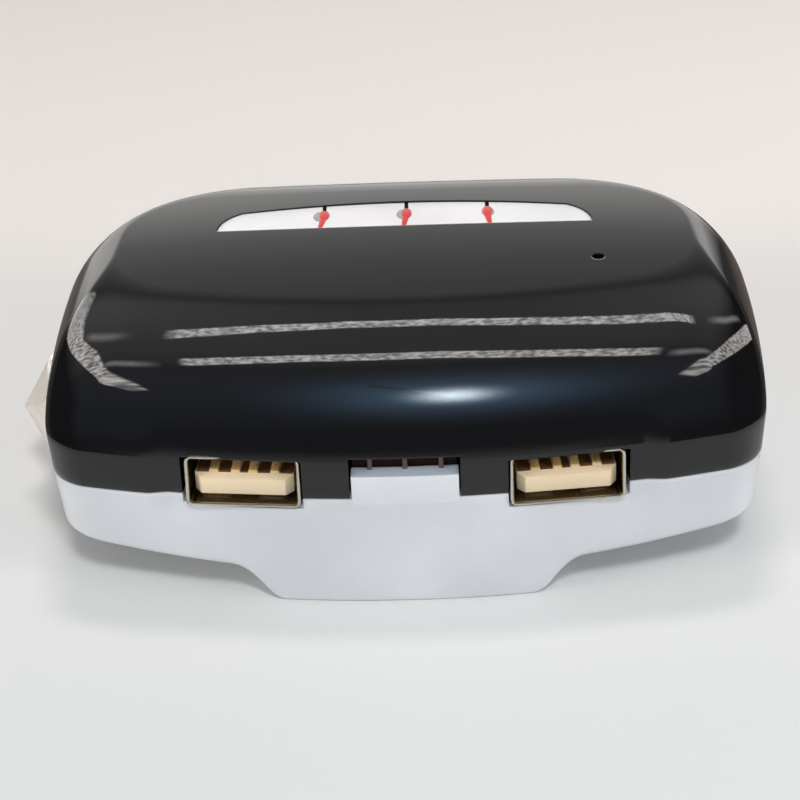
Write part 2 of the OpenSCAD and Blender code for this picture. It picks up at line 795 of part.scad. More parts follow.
module main_board() {
    color("#2c6b3c") placed() translate([0, 0, board_under]) linear_extrude(board_t) difference() {
        polygon(plan_ring(draft_ring(0, 1 / 2, board_edge, 0, 0)));
        translate([-body_w / 2, tunnel_front_y - board_tunnel_gap]) square([
            body_w / 2 + pocket_r + tunnel_wall + board_tunnel_gap,
            2 * (tunnel_half_w + tunnel_wall + board_tunnel_gap)
        ]);
        translate([-pin_d / 2 - board_tunnel_gap, plug_y]) square([
            pin_d + 2 * board_tunnel_gap,
            tunnel_half_w + tunnel_wall + pin_end + board_tunnel_gap
        ]);
        for (p = boss_places) translate(p) circle(d = screw_hole_d, $fn = round_fn);
    }
}

// Parts on the board: places as shares of the strip right of the tunnel, or behind it
strip_x0 = pocket_r + tunnel_wall + board_tunnel_gap;
strip_x1 = seam_half_w - board_edge - side_draft / 2;
strip_y0 = front_y + board_edge + front_draft / 2;
strip_y1 = seam_back_y - board_edge - side_draft / 2;
function strip_place(shares) = [
    strip_x0 + (strip_x1 - strip_x0) * shares[0],
    strip_y0 + (strip_y1 - strip_y0) * shares[1]
];

chip_share = [0.75, 0.36];
chip_place = strip_place(chip_share);
chip_side = 7;
chip_h = 1.1;
chip_pin_w = 0.3;
chip_pin_len = 0.8;
chip_pin_t = 0.2;
chip_pins = 6;

module chip_block(place, side, h) {
    translate([place[0], place[1], board_top]) {
        translate([-side / 2, -side / 2, chip_pin_t / 2]) cube([side, side, h]);
        for (turn = [0:90:270]) for (i = [1:chip_pins]) rotate([0, 0, turn]) translate([
            -side / 2 + side * i / (chip_pins + 1) - chip_pin_w / 2, side / 2, 0
        ]) cube([chip_pin_w, chip_pin_len, chip_pin_t]);
    }
}

module controller_chip() {
    color("#202226") placed() chip_block(chip_place, chip_side, chip_h);
}

radio_share = [0.27, 0.84];
radio_place = strip_place(radio_share);
radio_size = [10, 8, 2.2];
radio_lid_t = 0.3;
radio_lid_side = 0.4;

module radio_module() {
    color("#b9bcc0") placed() translate([radio_place[0], radio_place[1], board_top]) {
        translate([-radio_size[0] / 2, -radio_size[1] / 2, 0]) cube(radio_size);
        translate([-radio_size[0] / 2 + radio_lid_side, -radio_size[1] / 2 + radio_lid_side, radio_size[2]])
            cube([radio_size[0] - 2 * radio_lid_side, radio_size[1] - 2 * radio_lid_side, radio_lid_t]);
    }
}

crystal_share = [0.75, 0.54];
crystal_place = strip_place(crystal_share);
crystal_len = 8;
crystal_w = 3.8;
crystal_h = 3;

module crystal() {
    color("#c4c7ca") placed() translate([crystal_place[0], crystal_place[1], board_top])
        linear_extrude(crystal_h) {
            square([crystal_len - crystal_w, crystal_w], center = true);
            for (x = [-1, 1]) translate([x * (crystal_len - crystal_w) / 2, 0])
                circle(d = crystal_w, $fn = round_fn);
        }
}

inductor_share = [0.25, 0.36];
inductor_place = strip_place(inductor_share);
inductor_d = 8;
inductor_h = 5;
inductor_core_d = 4;
inductor_flange_t = 0.8;

module power_inductor() {
    core = inductor_h - 2 * inductor_flange_t;
    color("#3b3632") placed() {
        x = inductor_place[0];
        y = inductor_place[1];
        rod(x, y, board_top, board_top + inductor_flange_t, inductor_d);
        rod(x, y, board_top + inductor_flange_t, board_top + inductor_flange_t + core, inductor_core_d + core / 2);
        rod(x, y, board_top + inductor_h - inductor_flange_t, board_top + inductor_h, inductor_d);
    }
}

capacitor_share = [0.2, 0.52];
rear_capacitor_share = [-1.32, 0.84];
capacitor_places = [strip_place(capacitor_share), strip_place(rear_capacitor_share)];
capacitor_d = 6.3;
capacitor_h = 7.6;
capacitor_foot = 0.5;
capacitor_groove = 0.3;

module capacitors() {
    color("#8f949b") placed() for (p = capacitor_places) {
        rod(p[0], p[1], board_top, board_top + capacitor_foot, capacitor_d);
        rod(p[0], p[1], board_top + capacitor_foot, board_top + 2 * capacitor_foot,
            capacitor_d - 2 * capacitor_groove);
        rod(p[0], p[1], board_top + 2 * capacitor_foot, board_top + capacitor_h, capacitor_d);
    }
}

regulator_share = [0.46, 0.22];
regulator_place = strip_place(regulator_share);
regulator_size = [5, 4, 1.5];
regulator_tab = 1;

module regulator() {
    color("#232427") placed() translate([regulator_place[0], regulator_place[1], board_top]) {
        translate([-regulator_size[0] / 2, -regulator_size[1] / 2, 0]) cube(regulator_size);
        translate([-regulator_size[0] / 2, regulator_size[1] / 2, 0])
            cube([regulator_size[0], regulator_tab, regulator_size[2] / 2]);
    }
}

diode_share = [0.4, 0.66];
diode_place = strip_place(diode_share);
diode_len = 4.3;
diode_w = 2.6;
diode_h = 2;

module power_diode() {
    color("#1d1e20") placed() translate([diode_place[0] - diode_len / 2, diode_place[1] - diode_w / 2, board_top])
        cube([diode_len, diode_w, diode_h]);
}

aerial_share = [-0.53, 0.93];
aerial_place = strip_place(aerial_share);
aerial_len = 5;
aerial_d = 3;

module aerial_coil() {
    color("#b8793b") placed()
        translate([aerial_place[0] - aerial_len / 2, aerial_place[1], board_top + aerial_d / 2])
            rotate([0, 90, 0]) difference() {
                cylinder(h = aerial_len, d = aerial_d, $fn = round_fn);
                translate([0, 0, -over]) cylinder(h = aerial_len + 2 * over, d = aerial_d / 2, $fn = round_fn);
            }
}

module shell_screws() {
    color("#8a8d92") placed() for (p = boss_places) {
        rod(p[0], p[1], head_seat_z, screw_top, screw_d);
        rod(p[0], p[1], head_seat_z - screw_head_h, head_seat_z, screw_head_d);
    }
}

// Plug, drawn along +S from the pivot and laid out towards -X
hub_d = 9;
hub_gap = 0.5;
hub_half = barrel_d / 2 + tunnel_side_gap - hub_gap;
pin_bore_gap = 0.03;
pin_run_gap = 0.06;
pin_bore_d = pin_d + 2 * pin_bore_gap;
tip_skirt_len = 4.1;
tip_run_gap = 0.08;
ring_gap = 0.1;
ring_wall = 1.2;
ring_len = 7.9;
lip_len = 1;
flange_step = 0.45;
flange_d = tip_d + 2 * flange_step;
flange_t = 0.8;
chamber_gap = 0.35;
chamber_d = flange_d + 2 * chamber_gap;
ring_d = chamber_d + 2 * ring_wall;
ring_end = plug_reach - tip_cone_h - tip_skirt_len;
ring_s = ring_end - ring_len;
lip_s = ring_end - lip_len;
tip_back_s = lip_s - flange_t;
neck_d = chamber_d - 2 * ring_gap;
neck_rest = 0.2;
neck_end = tip_back_s - tip_travel - neck_rest;
shoulder_s = ring_s - ring_gap;
fuse_d = 5.2;
fuse_len = 20;
fuse_gap = 0.2;
fuse_sink = 0.5;
fuse_contact_t = 1;
fuse_end_s = neck_end - fuse_sink;
fuse_seat_s = fuse_end_s - fuse_len - fuse_contact_t;
channel_w = 3.2;
half_gap = 0.02;
earth_len = 16;
earth_foot = 1.7;
earth_w = 4;
earth_t = 0.5;
earth_proud = 1.2;
earth_level = 1.4;
earth_gap = 0.35;
earth_rest = 0.4;
earth_shoulder = 3;
earth_s = shoulder_s - earth_shoulder - earth_len / 2;
earth_apex = barrel_d / 2 + earth_proud;
earth_top = barrel_d / 2 - earth_level;
earth_floor = earth_top - earth_t - earth_travel - earth_rest;
plug_screw_d = 2;
plug_screw_s = 6;
plug_screw_z = 6.4;
plug_head_y = 4.6;
plug_head_d = 3.4;
plug_head_h = 1.2;
plug_head_bore_d = 3.8;
plug_screw_end = 5;
pilot_play = 0.05;

module at_plug() {
    translate([0, plug_y, plug_z]) rotate([0, -90, 0]) children();
}

// Rod along the plug from s0 to s1
module plug_rod(s0, s1, d) {
    translate([0, 0, s0]) cylinder(h = s1 - s0, d = d, $fn = 2 * round_fn);
}

// Outer form of the barrel: cylinder, ball knuckle, hub and neck
module barrel_body() {
    r = barrel_d / 2;
    intersection() {
        plug_rod(-r, shoulder_s, barrel_d);
        union() {
            translate([-r, -r, 0]) cube([barrel_d, barrel_d, shoulder_s]);
            sphere(r = r, $fn = 2 * round_fn);
        }
    }
    rotate([90, 0, 0]) cylinder(h = 2 * hub_half, d = hub_d, center = true, $fn = round_fn);
    plug_rod(shoulder_s - over, neck_end, neck_d);
}

module barrel_cuts() {
    plug_rod(fuse_seat_s, neck_end + over, fuse_d + 2 * fuse_gap);
    rotate([90, 0, 0])
        cylinder(h = 2 * (hub_half + over), d = pin_d + 2 * pin_run_gap, center = true, $fn = round_fn);
    translate([-channel_w / 2, -channel_w / 2, 0]) cube([channel_w, channel_w, fuse_seat_s + over]);
    for (side = [0, 1]) mirror([0, side, 0]) {
        across_w = earth_w + 2 * earth_gap;
        cavity = earth_len + 2 * earth_gap;
        mouth = earth_len - 2 * earth_foot + 2 * earth_gap;
        translate([-across_w / 2, earth_floor, earth_s - cavity / 2])
            cube([across_w, earth_top - earth_floor, cavity]);
        translate([-across_w / 2, earth_floor, earth_s - mouth / 2]) cube([across_w, barrel_d, mouth]);
    }
}

// Places of the two screws that hold the halves together beside the hub
module plug_screw_places() {
    for (side = [-1, 1]) translate([side * plug_screw_z, 0, plug_screw_s]) rotate([90, 0, 0]) children();
}

// One half of the plug: side -1 is the half towards the sockets
module plug_half(side) {
    color("#1b1c20") placed() at_plug() difference() {
        intersection() {
            barrel_body();
            translate([-barrel_d, side > 0 ? half_gap : -barrel_d - half_gap, -barrel_d])
                cube([2 * barrel_d, barrel_d, 3 * barrel_d]);
        }
        barrel_cuts();
        plug_screw_places() {
            translate([0, 0, -plug_screw_end - pilot_rest])
                cylinder(h = plug_screw_end + pilot_rest + plug_head_y, d = plug_screw_d + 2 * pilot_play,
                    $fn = round_fn);
            translate([0, 0, plug_head_y]) cylinder(h = barrel_d, d = plug_head_bore_d, $fn = round_fn);
        }
    }
}

module plug_half_front() {
    plug_half(-1);
}

module plug_half_rear() {
    plug_half(1);
}

module plug_screws() {
    color("#8a8d92") placed() at_plug() plug_screw_places() {
        translate([0, 0, -plug_screw_end])
            cylinder(h = plug_screw_end + plug_head_y, d = plug_screw_d, $fn = round_fn);
        translate([0, 0, plug_head_y]) cylinder(h = plug_head_h, d = plug_head_d, $fn = round_fn);
    }
}

// Collar that holds the halves together and the nose contact in
module nose_ring() {
    color("#26272b") placed() at_plug() difference() {
        plug_rod(ring_s, ring_end, ring_d);
        plug_rod(ring_s - over, lip_s, chamber_d);
        plug_rod(lip_s - over, ring_end + over, tip_d + 2 * tip_run_gap);
    }
}

// Nickel nose contact: cone, skirt and retaining flange round a spring seat
cone_s = plug_reach - tip_cone_h;
tip_bore_d = 6.6;
tip_face_t = 2;
tip_bore_end = cone_s - tip_face_t;
tip_apex_d = 1;

module tip_contact() {
    color("#cfcac0") placed() at_plug() difference() {
        union() {
            plug_rod(tip_back_s, tip_back_s + flange_t, flange_d);
            plug_rod(tip_back_s + flange_t, cone_s, tip_d);
            translate([0, 0, cone_s]) cylinder(h = tip_cone_h, d1 = tip_d, d2 = tip_apex_d, $fn = 2 * round_fn);
        }
        plug_rod(tip_back_s - over, tip_bore_end, tip_bore_d);
    }
}

// The nose spring as a sleeve of its outer size, between fuse and contact
spring_d = 5;
spring_wire = 0.6;

module tip_spring() {
    color("#9aa0a6") placed() at_plug() difference() {
        plug_rod(fuse_end_s, tip_bore_end, spring_d);
        plug_rod(fuse_end_s - over, tip_bore_end + over, spring_d - 2 * spring_wire);
    }
}

fuse_cap_len = 4.8;
fuse_glass_d = 4.6;

module fuse() {
    color("#d5d8dc") placed() at_plug() {
        plug_rod(fuse_end_s - fuse_len, fuse_end_s - fuse_len + fuse_cap_len, fuse_d);
        plug_rod(fuse_end_s - fuse_len + fuse_cap_len, fuse_end_s - fuse_cap_len, fuse_glass_d);
        plug_rod(fuse_end_s - fuse_cap_len, fuse_end_s, fuse_d);
    }
}

module fuse_contact() {
    color("#c9a24c") placed() at_plug() plug_rod(fuse_seat_s, fuse_seat_s + fuse_contact_t, fuse_d);
}

// Side contacts: bowed strips that spring in, with a flat foot caught under each end of the mouth
earth_bow = earth_len / 2 - earth_foot;
earth_sag = earth_apex - earth_top;
earth_r = (pow(earth_bow, 2) + pow(earth_sag, 2)) / (2 * earth_sag);
earth_steps = 16;

// Points of an arc about the strip's centre, from the right end at level y to the left end
function earth_arc(r, y) = let(c = earth_apex - earth_r, a = asin((y - c) / r))
    [for (i = [0:earth_steps]) let(b = a + (180 - 2 * a) * i / earth_steps) [r * cos(b), c + r * sin(b)]];

module earth_contact(side) {
    inner = earth_arc(earth_r - earth_t, earth_top - earth_t);
    color("#c6c8ca") placed() at_plug() mirror([0, side, 0]) translate([-earth_w / 2, 0, earth_s])
        rotate([0, 90, 0]) linear_extrude(earth_w) polygon(concat(
            [[earth_len / 2, earth_top - earth_t], [earth_len / 2, earth_top]],
            earth_arc(earth_r, earth_top),
            [[-earth_len / 2, earth_top], [-earth_len / 2, earth_top - earth_t]],
            [for (i = [earth_steps:-1:0]) inner[i]]
        ));
}

module earth_contact_front() {
    earth_contact(1);
}

module earth_contact_rear() {
    earth_contact(0);
}

// Hollow hinge pin with a thrust washer on each side of the plug
pin_end = 1;
pin_wall = 0.8;
washer_t = 0.44;

module across(y0, y1, d) {
    translate([0, plug_y + y1, plug_z]) rotate([90, 0, 0]) cylinder(h = y1 - y0, d = d, $fn = round_fn);
}

module hinge_pin() {
    reach = tunnel_half_w + tunnel_wall;
    window = channel_w / 2;
    color("#b4b7bb") placed() difference() {
        across(-reach, reach + pin_end, pin_d);
        across(-reach - over, reach + pin_end + over, pin_d - 2 * pin_wall);
        box([-pin_d, plug_y - window, plug_z - pin_d], [window / 2, plug_y + window, plug_z + window / 2]);
    }
}

module hinge_washers() {
    middle = tunnel_half_w - washer_t / 2;
    color("#d9cfae") placed() for (side = [-1, 1]) difference() {
        across(side * middle - washer_t / 2, side * middle + washer_t / 2, hub_d);
        across(side * middle - washer_t, side * middle + washer_t, pin_d + 2 * pin_run_gap);
    }
}

// Insulated leads: from the fuse to the hollow pin, and from the pin to the board
lead_d = 1.1;
lead_pitch = 1.3;
lead_run = 3.6;
lead_rest = 0.4;

module plug_leads() {
    color("#b2302a") placed() at_plug() for (side = [-1, 1])
        translate([0, side * lead_pitch / 2, 0])
            plug_rod(lead_pitch / 2 + lead_d / 2 + lead_rest, fuse_seat_s, lead_d);
}

module supply_leads() {
    y1 = plug_y + tunnel_half_w + tunnel_wall + lead_run;
    color("#b2302a") placed() for (side = [-1, 1]) {
        x = side * lead_pitch / 2;
        translate([x, y1, plug_z]) rotate([90, 0, 0]) cylinder(h = y1 - plug_y, d = lead_d, $fn = round_fn);
        translate([x, y1, plug_z]) sphere(d = lead_d, $fn = round_fn);
        rod(x, y1, plug_z, board_under, lead_d);
    }
}

top_cover();
bottom_shell();
indicator_window();
led_left();
led_middle();
led_right();
status_led();
ir_window();
ir_receiver();
usb_shell_left();
usb_shell_right();
usb_tongue_left();
usb_tongue_right();
usb_contacts_left();
usb_contacts_right();
main_board();
controller_chip();
radio_module();
crystal();
power_inductor();
capacitors();
regulator();
power_diode();
aerial_coil();
shell_screws();
plug_half_front();
plug_half_rear();
nose_ring();
tip_contact();
tip_spring();
fuse();
fuse_contact();
plug_screws();
earth_contact_front();
earth_contact_rear();
hinge_pin();
hinge_washers();
plug_leads();
supply_leads();
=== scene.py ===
"""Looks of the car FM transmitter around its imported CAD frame. Sizes of the model are in millimetres, and
place() turns them into the frame's metres. Lamps, veils, floor and textures are in metres."""
import bpy, bmesh, math
import numpy as np
from mathutils import Vector, Matrix


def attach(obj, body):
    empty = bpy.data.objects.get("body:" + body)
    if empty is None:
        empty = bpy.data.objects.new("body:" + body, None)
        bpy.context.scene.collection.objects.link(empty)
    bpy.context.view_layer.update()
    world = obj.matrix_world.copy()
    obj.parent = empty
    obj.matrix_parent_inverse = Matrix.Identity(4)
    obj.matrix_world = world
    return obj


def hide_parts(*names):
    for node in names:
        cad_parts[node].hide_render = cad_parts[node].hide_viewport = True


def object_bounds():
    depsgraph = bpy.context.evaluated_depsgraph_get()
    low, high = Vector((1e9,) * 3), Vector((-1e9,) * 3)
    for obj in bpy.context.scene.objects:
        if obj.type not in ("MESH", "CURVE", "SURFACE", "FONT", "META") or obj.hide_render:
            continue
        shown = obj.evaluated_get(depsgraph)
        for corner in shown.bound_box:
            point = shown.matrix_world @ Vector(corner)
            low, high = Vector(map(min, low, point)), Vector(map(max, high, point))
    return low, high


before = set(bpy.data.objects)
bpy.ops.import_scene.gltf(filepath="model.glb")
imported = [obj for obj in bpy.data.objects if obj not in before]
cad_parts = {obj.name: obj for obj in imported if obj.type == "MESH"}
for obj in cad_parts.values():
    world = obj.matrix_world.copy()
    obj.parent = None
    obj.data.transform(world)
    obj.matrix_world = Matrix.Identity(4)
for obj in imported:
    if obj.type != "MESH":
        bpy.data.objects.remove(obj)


def plain_box():
    return [[float(c) for c in corner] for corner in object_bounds()]


cad_box = plain_box()

# Body: half width before the bow of its sides, the bow, depth, heights of crease and seam, wall
HALF_W, BOW, DEPTH, CREASE_Z, SEAM_Z, WALL = 40.2, 2.4, 64.0, 19.2, 14.0, 1.8
FRONT, BACK = -DEPTH / 2, DEPTH / 2
BOX_X, BOX_Y, TOP_Z = (round(1000 * c, 4) for c in cad_box[1])
CX, CY = round(BOX_X - HALF_W - BOW, 4), round(BOX_Y - BACK, 4)
# Plan: bulge of front and back, corner radii, draw-in at the seam, step of the front beside the sockets
BULGE, BACK_BULGE, CORNER_F, CORNER_B, SKIRT = 6.1, 0.7, 5.4, 27.4, 0.3
STEP_X, STEP, STEP_RUN, STEP_UP_SHARE = 28.0, 0.7, 3.0, 0.33
# Cover: roll-off at front, sides and back, lean at the crease, crown of the top, change of the corner radii
ROLL_F, ROLL_S, ROLL_B, LEAN, CROWN, GROW_F, LOSS_B = 25.0, 6.0, 7.5, math.radians(30), 0.3, 6.0, 16.5
# Crease of the cover: rounded over SOFT to each side, with close rings as far as SOFT_TOP above it
SOFT, SOFT_TOP = 0.75, 0.9
# Seam: insets of the two rings that round its edges, the second one's height in each shell, full skin below
SEAM_IN, SEAM_OUT, COVER_LIFT, SHELL_DROP, SHELL_START = 0.22, 0.06, 0.07, 0.08, 0.24
# Bottom shell: wings, draft of sides and front, lower edge, ridge and the radii that blend them
WING_Z, WING_RISE, DRAFT_S, DRAFT_F, EDGE_R = 3.6, 2.8, 0.6, 0.1, 0.9
RIDGE_HALF, RIDGE_SLOPE, RIDGE_EDGE_R, EDGE_FROM, EDGE_RUN = 15.2, 2.8, 0.35, 15.0, 5.0
FOOT_BLEND, WING_BLEND = 1.5, 2.2
# Folded plug in its tunnel
PLUG_Y, PLUG_Z, REACH, BARREL_R = -2.2, 10.5, 48.1, 10.0
TUNNEL_HALF, TUNNEL_TOP, TUNNEL_R, TUNNEL_WALL, POCKET_GAP, POCKET_X = 11.7, 21.4, 6.0, 1.5, 0.9, -1.0
# Sockets: place and shell, then mouth, which is a little taller than the shell behind it
USB_X, SPLAY, PROUD, USB_W, USB_H, USB_T, USB_DEEP = 18.1, math.radians(5.8), 0.8, 13.1, 5.7, 0.35, 12.6
USB_Z = CREASE_Z - USB_T - USB_H / 2
USB_Y = FRONT + BULGE * (USB_X / (HALF_W - SKIRT)) ** 2 - PROUD
MOUTH_Y, MOUTH_LOW, MOUTH_TOP, MOUTH_OUT, RIGHT_DROP = 0.35, -3.0, 3.1, 0.27, 0.5
# Tongue in a socket: width, heights, front, rear end and places of its contacts
TONGUE_W, TONGUE_LOW, TONGUE_TOP, TONGUE_Y, TONGUE_END = 11.3, -1.75, 0.5, 1.05, 8.4
CONTACT_X = (-3.5, -1.0, 1.0, 3.5)
# Window: half width, round ends, rise of the arc between them, edges, plate and lights
WIN_HALF, WIN_END_R, WIN_RISE, WIN_TOP, WIN_LOW = 23.9, 6.0, 1.5, BACK - 12.0, BACK - 19.25
PLATE_Z, PLATE_T, LED_PITCH, LIGHT_Y = TOP_Z - 0.2, 1.3, 10.7, (WIN_TOP + WIN_LOW) / 2 + 0.35
# Counts of rings and points
SIDE_POINTS, CORNER_POINTS, LATHE_POINTS = 40, 16, 128
ROLL_RINGS, INNER_RINGS, SIDE_RINGS, EDGE_RINGS = 36, 10, 14, 7
# How far a cutter runs past what it cuts, and an x beyond the left end
OVER, BEYOND_X = 2.0, -60.0


def place(points):
    """Points of the CAD source in millimetres, as metres in the frame."""
    return (np.asarray(points, float) + np.array([CX, CY, 0.0])) / 1000.0


# Mesh helpers
def add_object(name, data):
    obj = bpy.data.objects.new(name, data)
    bpy.context.scene.collection.objects.link(obj)
    return obj


def shade(obj, angle=35.0):
    obj.data.shade_smooth()
    obj.data.set_sharp_from_angle(angle=math.radians(angle))


def mesh_obj(name, points, faces, smooth=35.0):
    mesh = bpy.data.meshes.new(name)
    mesh.from_pydata([tuple(map(float, p)) for p in place(points)], [], [tuple(f) for f in faces])
    mesh.validate()
    bm = bmesh.new()
    bm.from_mesh(mesh)
    bmesh.ops.remove_doubles(bm, verts=bm.verts, dist=1e-7)
    bmesh.ops.recalc_face_normals(bm, faces=bm.faces)
    bm.to_mesh(mesh)
    bm.free()
    obj = add_object(name, mesh)
    shade(obj, smooth)
    return obj


def bake(obj):
    """Applies the object's modifiers to its own mesh."""
    bpy.context.view_layer.update()
    graph = bpy.context.evaluated_depsgraph_get()
    mesh = bpy.data.meshes.new_from_object(obj.evaluated_get(graph))
    old = obj.data
    obj.modifiers.clear()
    obj.data = mesh
    mesh.name = obj.name
    bpy.data.meshes.remove(old)


def boolean(obj, other, operation="DIFFERENCE"):
    mod = obj.modifiers.new("cut", "BOOLEAN")
    mod.operation = operation
    mod.solver = "EXACT"
    mod.object = other
    bake(obj)
    bpy.data.objects.remove(other)


def bevelled(obj, width, segments=3, angle=40.0):
    mod = obj.modifiers.new("edge", "BEVEL")
    mod.width = width / 1000.0
    mod.segments = segments
    mod.limit_method = "ANGLE"
    mod.angle_limit = math.radians(angle)
    mod.harden_normals = False
    bake(obj)
    shade(obj, 45.0)
    return obj


def join(objs, name):
    bm = bmesh.new()
    for obj in objs:
        bm.from_mesh(obj.data)
        bpy.data.objects.remove(obj)
    mesh = bpy.data.meshes.new(name)
    bm.to_mesh(mesh)
    bm.free()
    joined = add_object(name, mesh)
    shade(joined)
    return joined


def row_faces(count, n):
    """Quads from each closed row of n points to the next one."""
    return [(j * n + i, j * n + (i + 1) % n, (j + 1) * n + (i + 1) % n, (j + 1) * n + i)
            for j in range(count - 1) for i in range(n)]


def loft(name, rows, smooth=35.0):
    """Solid through closed rows of points, with a cap on the first row and on the last."""
    n = len(rows[0])
    start = (len(rows) - 1) * n
    caps = [tuple(range(n)), tuple(range(start + n - 1, start - 1, -1))]
    return mesh_obj(name, [p for row in rows for p in row], caps + row_faces(len(rows), n), smooth)


def tube(name, rows):
    """Skin through closed rows of points whose last row meets the first."""
    n, count = len(rows[0]), len(rows)
    faces = [tuple(i % (n * count) for i in face) for face in row_faces(count + 1, n)]
    return mesh_obj(name, [p for row in rows for p in row], faces)


def prism(name, outline, low, high, axis="z"):
    """Outline [(a, b)] swept from low to high along an axis: z takes (x, y), x (y, z) and y (x, z)."""
    put = {"z": lambda a, b, h: (a, b, h),
           "x": lambda a, b, h: (h, a, b),
           "y": lambda a, b, h: (a, h, b)}[axis]
    return loft(name, [[put(a, b, h) for a, b in outline] for h in (low, high)])


def box(name, low, high):
    (x0, y0, z0), (x1, y1, z1) = low, high
    return prism(name, [(x0, y0), (x1, y0), (x1, y1), (x0, y1)], z0, z1)


def arc_points(x, y, r, start, end, n):
    """Arc round (x, y) between two angles in degrees, in n steps."""
    angles = [math.radians(start + (end - start) * i / n) for i in range(n + 1)]
    return [(x + r * math.cos(a), y + r * math.sin(a)) for a in angles]


def circle(x, y, r, n):
    return arc_points(x, y, r, 0, 360, n)[:-1]


def round_rect(w, h, r, n=8):
    points = []
    for quarter, (sx, sy) in enumerate(((1, 1), (-1, 1), (-1, -1), (1, -1))):
        points += arc_points(sx * (w / 2 - r), sy * (h / 2 - r), r, 90 * quarter, 90 * quarter + 90, n)
    return points


def lathe(name, profile):
    """Profile [(distance from the pivot, radius)] turned about the folded plug's axis. It is closed, or
    starts and ends on the axis."""
    rows = [[(-s, y, z) for y, z in circle(PLUG_Y, PLUG_Z, r, LATHE_POINTS)] for s, r in profile]
    return mesh_obj(name, [p for row in rows for p in row], row_faces(len(rows), LATHE_POINTS), 30.0)


def strip(name, x, line, z, half_w, half_t, up=1):
    """Bent strip of sheet metal at x, along a line [(y, height over z)]; up is -1 for one that hangs down."""
    corners = ((-half_w, -half_t), (half_w, -half_t), (half_w, half_t), (-half_w, half_t))
    return loft(name, [[(x + dx, y, z + up * (h + dz)) for dx, dz in corners] for y, h in line])


def turned(obj, side):
    """Moves a piece drawn at the origin to one socket: side -1 is the left one."""
    drop = RIGHT_DROP if side > 0 else 0.0
    to = Vector(place([(side * (USB_X + MOUTH_OUT), USB_Y, USB_Z - drop)])[0])
    origin = Vector(place([(0.0, 0.0, 0.0)])[0])
    turn = Matrix.Rotation(side * SPLAY, 4, "Z")
    obj.data.transform(Matrix.Translation(to) @ turn @ Matrix.Translation(-origin))
    return obj


# Node helpers
def add_node(nt, kind, **values):
    """Shader node with constants on its named inputs, where an underscore stands for a space."""
    node = nt.nodes.new("ShaderNode" + kind)
    for label, value in values.items():
        node.inputs[label.replace("_", " ")].default_value = value
    return node


def node_tree(name):
    mat = bpy.data.materials.new(name)
    mat.use_nodes = True
    return mat, mat.node_tree, mat.node_tree.nodes["Principled BSDF"]


def math_node(nt, operation, a, b=0.0):
    node = add_node(nt, "Math")
    node.operation = operation
    for socket, value in zip(node.inputs, (a, b)):
        if isinstance(value, (int, float)):
            socket.default_value = value
        else:
            nt.links.new(value, socket)
    return node.outputs[0]


def product(nt, first, *others):
    for other in others:
        first = math_node(nt, "MULTIPLY", first, other)
    return first


def axes(nt, output):
    """X, Y and Z of a texture coordinate."""
    coords = add_node(nt, "TexCoord")
    split = add_node(nt, "SeparateXYZ")
    nt.links.new(coords.outputs[output], split.inputs[0])
    return split.outputs["X"], split.outputs["Y"], split.outputs["Z"]


def noise(nt, scale, detail, stretch=(1.0, 1.0, 1.0), rough=0.5):
    """A noise in object space, with its scale per metre; stretch squeezes it along an axis."""
    coords = add_node(nt, "TexCoord")
    mapping = add_node(nt, "Mapping", Scale=stretch)
    texture = add_node(nt, "TexNoise", Scale=scale, Detail=detail, Roughness=rough)
    nt.links.new(coords.outputs["Object"], mapping.inputs["Vector"])
    nt.links.new(mapping.outputs["Vector"], texture.inputs["Vector"])
    return texture.outputs["Fac"]


def spread(nt, source, low, high, start=0.3, end=0.7):
    """Maps a source from start..end to low..high."""
    node = add_node(nt, "MapRange", From_Min=start, From_Max=end, To_Min=low, To_Max=high)
    nt.links.new(source, node.inputs["Value"])
    return node.outputs["Result"]


def color_ramp(nt, source, stops):
    """Colours along a source: stops = [(position, colour)]."""
    ramp = add_node(nt, "ValToRGB")
    elements = ramp.color_ramp.elements
    while len(elements) < len(stops):
        elements.new(0.5)
    for element, (position, color) in zip(elements, stops):
        element.position = position
        element.color = (*color, 1)
    nt.links.new(source, ramp.inputs["Fac"])
    return ramp.outputs["Color"]


def dimmed(nt, color, factor):
    """A colour times a number."""
    node = add_node(nt, "VectorMath")
    node.operation = "SCALE"
    nt.links.new(color, node.inputs[0])
    nt.links.new(factor, node.inputs["Scale"])
    return node.outputs[0]


# Materials
def bump(nt, bsdf, source, strength, distance, edge):
    """Surface grain, over edges that shine as rounded ones where edge has a radius."""
    node = add_node(nt, "Bump", Strength=strength, Distance=distance)
    nt.links.new(source, node.inputs["Height"])
    if edge:
        bevel = add_node(nt, "Bevel", Radius=edge)
        bevel.samples = 6
        nt.links.new(bevel.outputs["Normal"], node.inputs["Normal"])
    nt.links.new(node.outputs["Normal"], bsdf.inputs["Normal"])


def finish_of(name, low, high, rough, metal=0.0, coat=0.0, grain=900.0, stretch=(1.0, 1.0, 1.0),
              lift=0.00002, strength=0.15, edge=0.0, tone=60.0):
    """Plastic, metal or board: slow drift between two colours, uneven gloss and a fine surface grain."""
    mat, nt, bsdf = node_tree(name)
    drift = color_ramp(nt, noise(nt, tone, 5.0), [(0.35, low), (0.65, high)])
    nt.links.new(drift, bsdf.inputs["Base Color"])
    nt.links.new(spread(nt, noise(nt, 240.0, 6.0, stretch), *rough), bsdf.inputs["Roughness"])
    bsdf.inputs["Metallic"].default_value = metal
    if coat:
        bsdf.inputs["Coat Weight"].default_value = coat
        bsdf.inputs["Coat Roughness"].default_value = 0.05
    bump(nt, bsdf, noise(nt, grain, 3.0, stretch), strength, lift, edge)
    return mat


def plain(name, color, rough, metal=0.0, **more):
    """Finish whose colour drifts a little round one colour."""
    low, high = (tuple(c * k for c in color) for k in (0.93, 1.05))
    return finish_of(name, low, high, rough, metal, **more)


